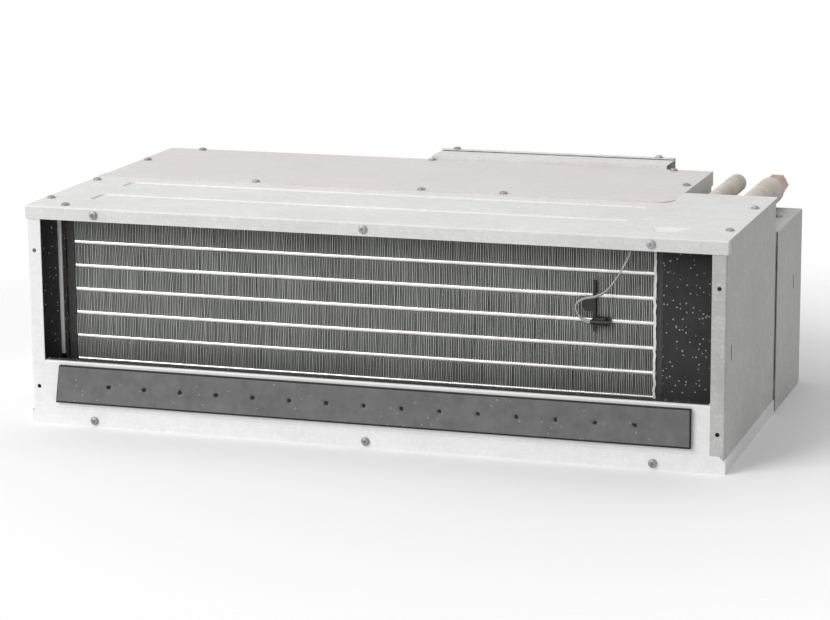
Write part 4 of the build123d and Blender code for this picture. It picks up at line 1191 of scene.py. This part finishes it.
@dataclass
class SidePressings:
    """Rivet heads and pressed rings on the right-hand walls."""

    rivet_radius: float = 2.1 * MM
    rivet_height: float = 0.5 * MM
    ring_radius: float = 3.4 * MM
    ring_wire: float = 0.45 * MM
    rivets: tuple = ((39.0, 191.0), (41.5, 129.0), (57.8, 50.0))
    rings: tuple = ((338.0, 161.5), (363.0, 49.0))
    pocket: tuple = (305.0, 45.0)
    pocket_size: tuple = (22.0, 40.0, 26.0)
    pocket_depth: float = 1.35 * MM
    pocket_inset: float = 2.0
    floor_sheet: float = 0.3 * MM
    wall_start: float = 1.0 * MM

    def pocket_floor(self) -> None:
        """Brighter floor of the pressed pocket in the top sheet."""
        shift = casing_shift()
        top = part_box("top_front_panel")[1].z - self.pocket_depth
        front, rear, length = self.pocket_size
        fresh()
        bpy.ops.mesh.primitive_grid_add(x_subdivisions=12, y_subdivisions=8, size=1)
        floor = active()
        for vertex in floor.data.vertices:
            width = front + (rear - front) * (vertex.co.y + 0.5) - self.pocket_inset
            x = self.pocket[0] + vertex.co.x * width
            y = self.pocket[1] + vertex.co.y * (length - self.pocket_inset)
            away = (2 * vertex.co.x) ** 4 + (2 * vertex.co.y) ** 4
            vertex.co = Vector((x, y, 0)) * MM + shift + Vector((0, 0, top + self.floor_sheet * away))
        modify(floor, "SOLIDIFY", thickness=self.floor_sheet, offset=-1)
        settle(floor, "pocket_floor", FLANGE_STEEL, angle=60)

    def build(self) -> None:
        """Sets the rivets and rings on the outer face."""
        self.pocket_floor()
        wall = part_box("right_side_panel")
        shift = wall[0].y - self.wall_start
        rivets = []
        for y, z in self.rivets:
            fresh()
            bpy.ops.mesh.primitive_uv_sphere_add(segments=20, ring_count=10, radius=self.rivet_radius)
            rivet = active()
            rivet.scale = (self.rivet_height / self.rivet_radius, 1, 1)
            applied(rivet)
            rivet.data.transform(Matrix.Translation((wall[1].x, shift + y * MM, z * MM)))
            rivets.append(rivet)
        settle(joined(rivets), "wall_rivets", ZINC, angle=60)
        rings = []
        for y, z in self.rings:
            fresh()
            bpy.ops.mesh.primitive_torus_add(major_segments=32, minor_segments=8,
                                             major_radius=self.ring_radius, minor_radius=self.ring_wire,
                                             rotation=(0, math.pi / 2, 0),
                                             location=(wall[1].x, shift + y * MM, z * MM))
            rings.append(applied(active()))
        # The pressed rings take the right wall's painted shade.
        settle(joined(rings), "pressed_rings", SHADED_SIDE_STEEL, angle=60)


@dataclass
class PipeSleeves:
    """Round foam sleeves with soft rims round the two pipes."""

    segments: int = 64
    rim: float = 1.6 * MM
    past: float = 2 * MM
    gas_bore: float = 5.1 * MM
    liquid_bore: float = 8.5 * MM

    def sleeve(self, node: str, bore: float, name: str) -> None:
        """One sleeve, lathed from a hollow bar.

        Args:
            node: the CAD sleeve.
            bore: radius of its bore in metres.
            name: the piece's name.
        """
        low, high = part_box(node)
        radius = (high.z - low.z) / 2
        x, z = (low.x + high.x) / 2, (low.z + high.z) / 2
        body = tube(radius, Vector((x, low.y, z)), Vector((x, high.y, z)), self.segments)
        modify(body, "BEVEL", width=self.rim, segments=3, limit_method="ANGLE")
        ends = (Vector((x, low.y - self.past, z)), Vector((x, high.y + self.past, z)))
        cutter = tube(bore, *ends, self.segments)
        modify(body, "BOOLEAN", operation="DIFFERENCE", object=cutter, solver="EXACT")
        bpy.data.objects.remove(cutter)
        settle(body, name, PIPE_FOAM, replaces=(node,), angle=40)

    def build(self) -> None:
        """Makes both sleeves."""
        self.sleeve("gas_pipe_sleeve", self.gas_bore, "gas_sleeve_round")
        self.sleeve("liquid_pipe_sleeve", self.liquid_bore, "liquid_sleeve_round")


@dataclass
class SensorLead:
    """Two thin wires side by side, from the clip to the sensor's bulb."""

    diameter: float = 3.2 * MM
    strand: float = 0.78 * MM
    apart: float = 0.8 * MM
    length: float = 0.1234
    bend_steps: int = 12
    twist: float = 2.4

    def route(self) -> list[Vector]:
        """The route's points, as the CAD tube has them."""
        shift = casing_shift()
        points = [(273.0, 20.0, 226.0), (273.0, 20.0, 215.0), (266.0, 19.2, 200.0), (257.0, 20.0, 184.5),
                  (247.0, 22.5, 172.0), (235.5, 24.5, 166.5), (223.5, 26.0, 164.5), (214.5, 27.0, 157.5),
                  (216.5, 28.2, 148.0), (222.5, 29.4, 140.0), (230.0, 29.4, 140.0)]
        return [Vector(point) * MM + shift for point in points]

    def line(self) -> list[Vector]:
        """Points along the smooth line that follows the route."""
        route = self.route()
        curve = bpy.data.curves.new("lead_line", "CURVE")
        curve.dimensions = "3D"
        spline = curve.splines.new("NURBS")
        spline.points.add(len(route) - 1)
        for point, place in zip(spline.points, route):
            point.co = (*place, 1)
        spline.order_u = 3
        spline.use_endpoint_u = True
        spline.resolution_u = self.bend_steps
        holder = placed("lead_line", curve)
        bpy.context.view_layer.update()
        mesh = bpy.data.meshes.new_from_object(holder.evaluated_get(bpy.context.evaluated_depsgraph_get()))
        points = [vertex.co.copy() for vertex in mesh.vertices]
        bpy.data.objects.remove(holder)
        bpy.data.meshes.remove(mesh)
        return points

    def build(self) -> None:
        line = self.line()
        strands = []
        for side in (-1, 1):
            curve = bpy.data.curves.new("strand", "CURVE")
            curve.dimensions = "3D"
            curve.bevel_depth = self.strand
            curve.bevel_resolution = 4
            curve.use_fill_caps = True
            spline = curve.splines.new("POLY")
            spline.points.add(len(line) - 1)
            for index, place in enumerate(line):
                ahead = line[min(index + 1, len(line) - 1)] - line[max(index - 1, 0)]
                twist = self.twist * math.sin(index / len(line) * math.pi)
                across = ahead.cross(Vector((0, 1, 0))).normalized()
                up = ahead.cross(across).normalized()
                offset = (across * math.cos(twist) + up * math.sin(twist)) * side * self.apart
                spline.points[index].co = (*(place + offset), 1)
            only(placed("strand", curve))
            bpy.ops.object.convert(target="MESH")
            strands.append(active())
        lead = settle(joined(strands), "sensor_lead_wires", WIRE, replaces=("sensor_lead",),
                      angle=60)


@dataclass
class Studio:
    """Camera, soft lamps and the pale floor."""

    focal_px: float = 2813.54
    photo_width: float = 830.0
    yaw: float = math.radians(17.9967)
    pitch: float = math.radians(12.3022)
    roll: float = math.radians(-0.4736)
    eye: Triple = (0.9239, -2.8735, 0.7536)
    surround: float = 0.36
    floor_radius: float = 0.45
    floor_fade: float = 0.45
    floor_size: float = 30.0
    floor_grey: float = 0.93
    aim: Triple = (0, 0, 0.1)
    # Each lamp's place, size in metres and power in watts.
    lamps: tuple = (((-1.9, -2.6, 2.1), 2.4, 96.0), ((-0.2, 0.3, 3.2), 3.0, 34.0))

    def camera(self) -> None:
        """Sets the camera where the photograph was taken."""
        data = bpy.data.cameras.new("camera")
        data.sensor_width = 36.0
        data.lens = self.focal_px / self.photo_width * data.sensor_width
        camera = placed("camera", data)
        turn = Matrix.Rotation(self.yaw, 4, "Z")
        forward = turn @ Vector((0, math.cos(self.pitch), -math.sin(self.pitch)))
        level = turn @ Vector((1, 0, 0))
        upright = level.cross(forward)
        right = math.cos(self.roll) * level + math.sin(self.roll) * upright
        up = -math.sin(self.roll) * level + math.cos(self.roll) * upright
        axes = Matrix((right, up, -forward)).transposed().to_4x4()
        camera.matrix_world = Matrix.Translation(Vector(self.eye)) @ axes
        data.clip_end = 60
        bpy.context.scene.camera = camera

    def lights(self) -> None:
        """Large soft lamps and an even surround."""
        for index, (place, size, power) in enumerate(self.lamps):
            data = bpy.data.lights.new(f"softbox_{index}", "AREA")
            data.size = size
            data.energy = power
            lamp = placed(f"softbox_{index}", data)
            lamp.location = place
            lamp.rotation_euler = (Vector(self.aim) - Vector(place)).to_track_quat("-Z", "Y").to_euler()
        world = bpy.data.worlds.new("surround")
        bpy.context.scene.world = world
        world.use_nodes = True
        tree = world.node_tree
        tree.nodes.clear()
        output = tree.nodes.new("ShaderNodeOutputWorld")
        path = tree.nodes.new("ShaderNodeLightPath")
        mix = tree.nodes.new("ShaderNodeMixShader")
        dim, white = (tree.nodes.new("ShaderNodeBackground") for _ in range(2))
        dim.inputs["Strength"].default_value = self.surround
        for background in (dim, white):
            background.inputs["Color"].default_value = (1, 1, 1, 1)
        seen = path.outputs["Is Camera Ray"]
        for name in ("Is Glossy Ray", "Is Transmission Ray"):
            either = tree.nodes.new("ShaderNodeMath")
            either.operation = "MAXIMUM"
            tree.links.new(seen, either.inputs[0])
            tree.links.new(path.outputs[name], either.inputs[1])
            seen = either.outputs[0]
        tree.links.new(seen, mix.inputs[0])
        tree.links.new(dim.outputs[0], mix.inputs[1])
        tree.links.new(white.outputs[0], mix.inputs[2])
        tree.links.new(mix.outputs[0], output.inputs["Surface"])

    def floor(self) -> None:
        """White floor that keeps the unit's shadow and fades out where the white surround takes over."""
        fresh()
        bpy.ops.mesh.primitive_plane_add(size=self.floor_size, location=(0, 0, 0))
        floor = active()
        floor.name = "floor"
        graph = Graph("pale_floor")
        x, y, _ = graph.axes()
        away = (x * x + y * y) ** 0.5
        solid = graph.clamped((self.floor_radius + self.floor_fade - away) * (1 / self.floor_fade))
        graph.dress(Base_Color=shade((self.floor_grey,) * 3), Roughness=0.9, Alpha=solid)
        floor.data.materials.append(graph.material)

    def build(self) -> None:
        """Sets up the studio."""
        self.camera()
        self.lights()
        self.floor()
        bpy.context.scene.view_settings.view_transform = "Standard"


def dress_nodes() -> None:
    """Gives every node of the frame its finish."""
    for finish, names in NODE_FINISHES.items():
        material = Palette.of(finish)
        for name in names:
            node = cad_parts[name]
            if not node.material_slots:
                node.data.materials.append(material)
            for slot in node.material_slots:
                slot.material = material
    bare = set(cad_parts) - {name for names in NODE_FINISHES.values() for name in names}
    log.info("nodes with no finish: %s", sorted(bare))


def main() -> None:
    """Builds the looks in order."""
    logging.basicConfig(level=logging.INFO, format="%(message)s")
    Studio().build()
    dress_nodes()
    SensorLead().build()
    for assembly in (Coil(), FrontStrip(), Surrounds(), Fasteners(), FanWheel("left"), FanWheel("right"),
                     ScrollShell("left"), ScrollShell("right"), SidePressings(), PipeSleeves()):
        assembly.build()


if __name__ == "__main__":
    main()
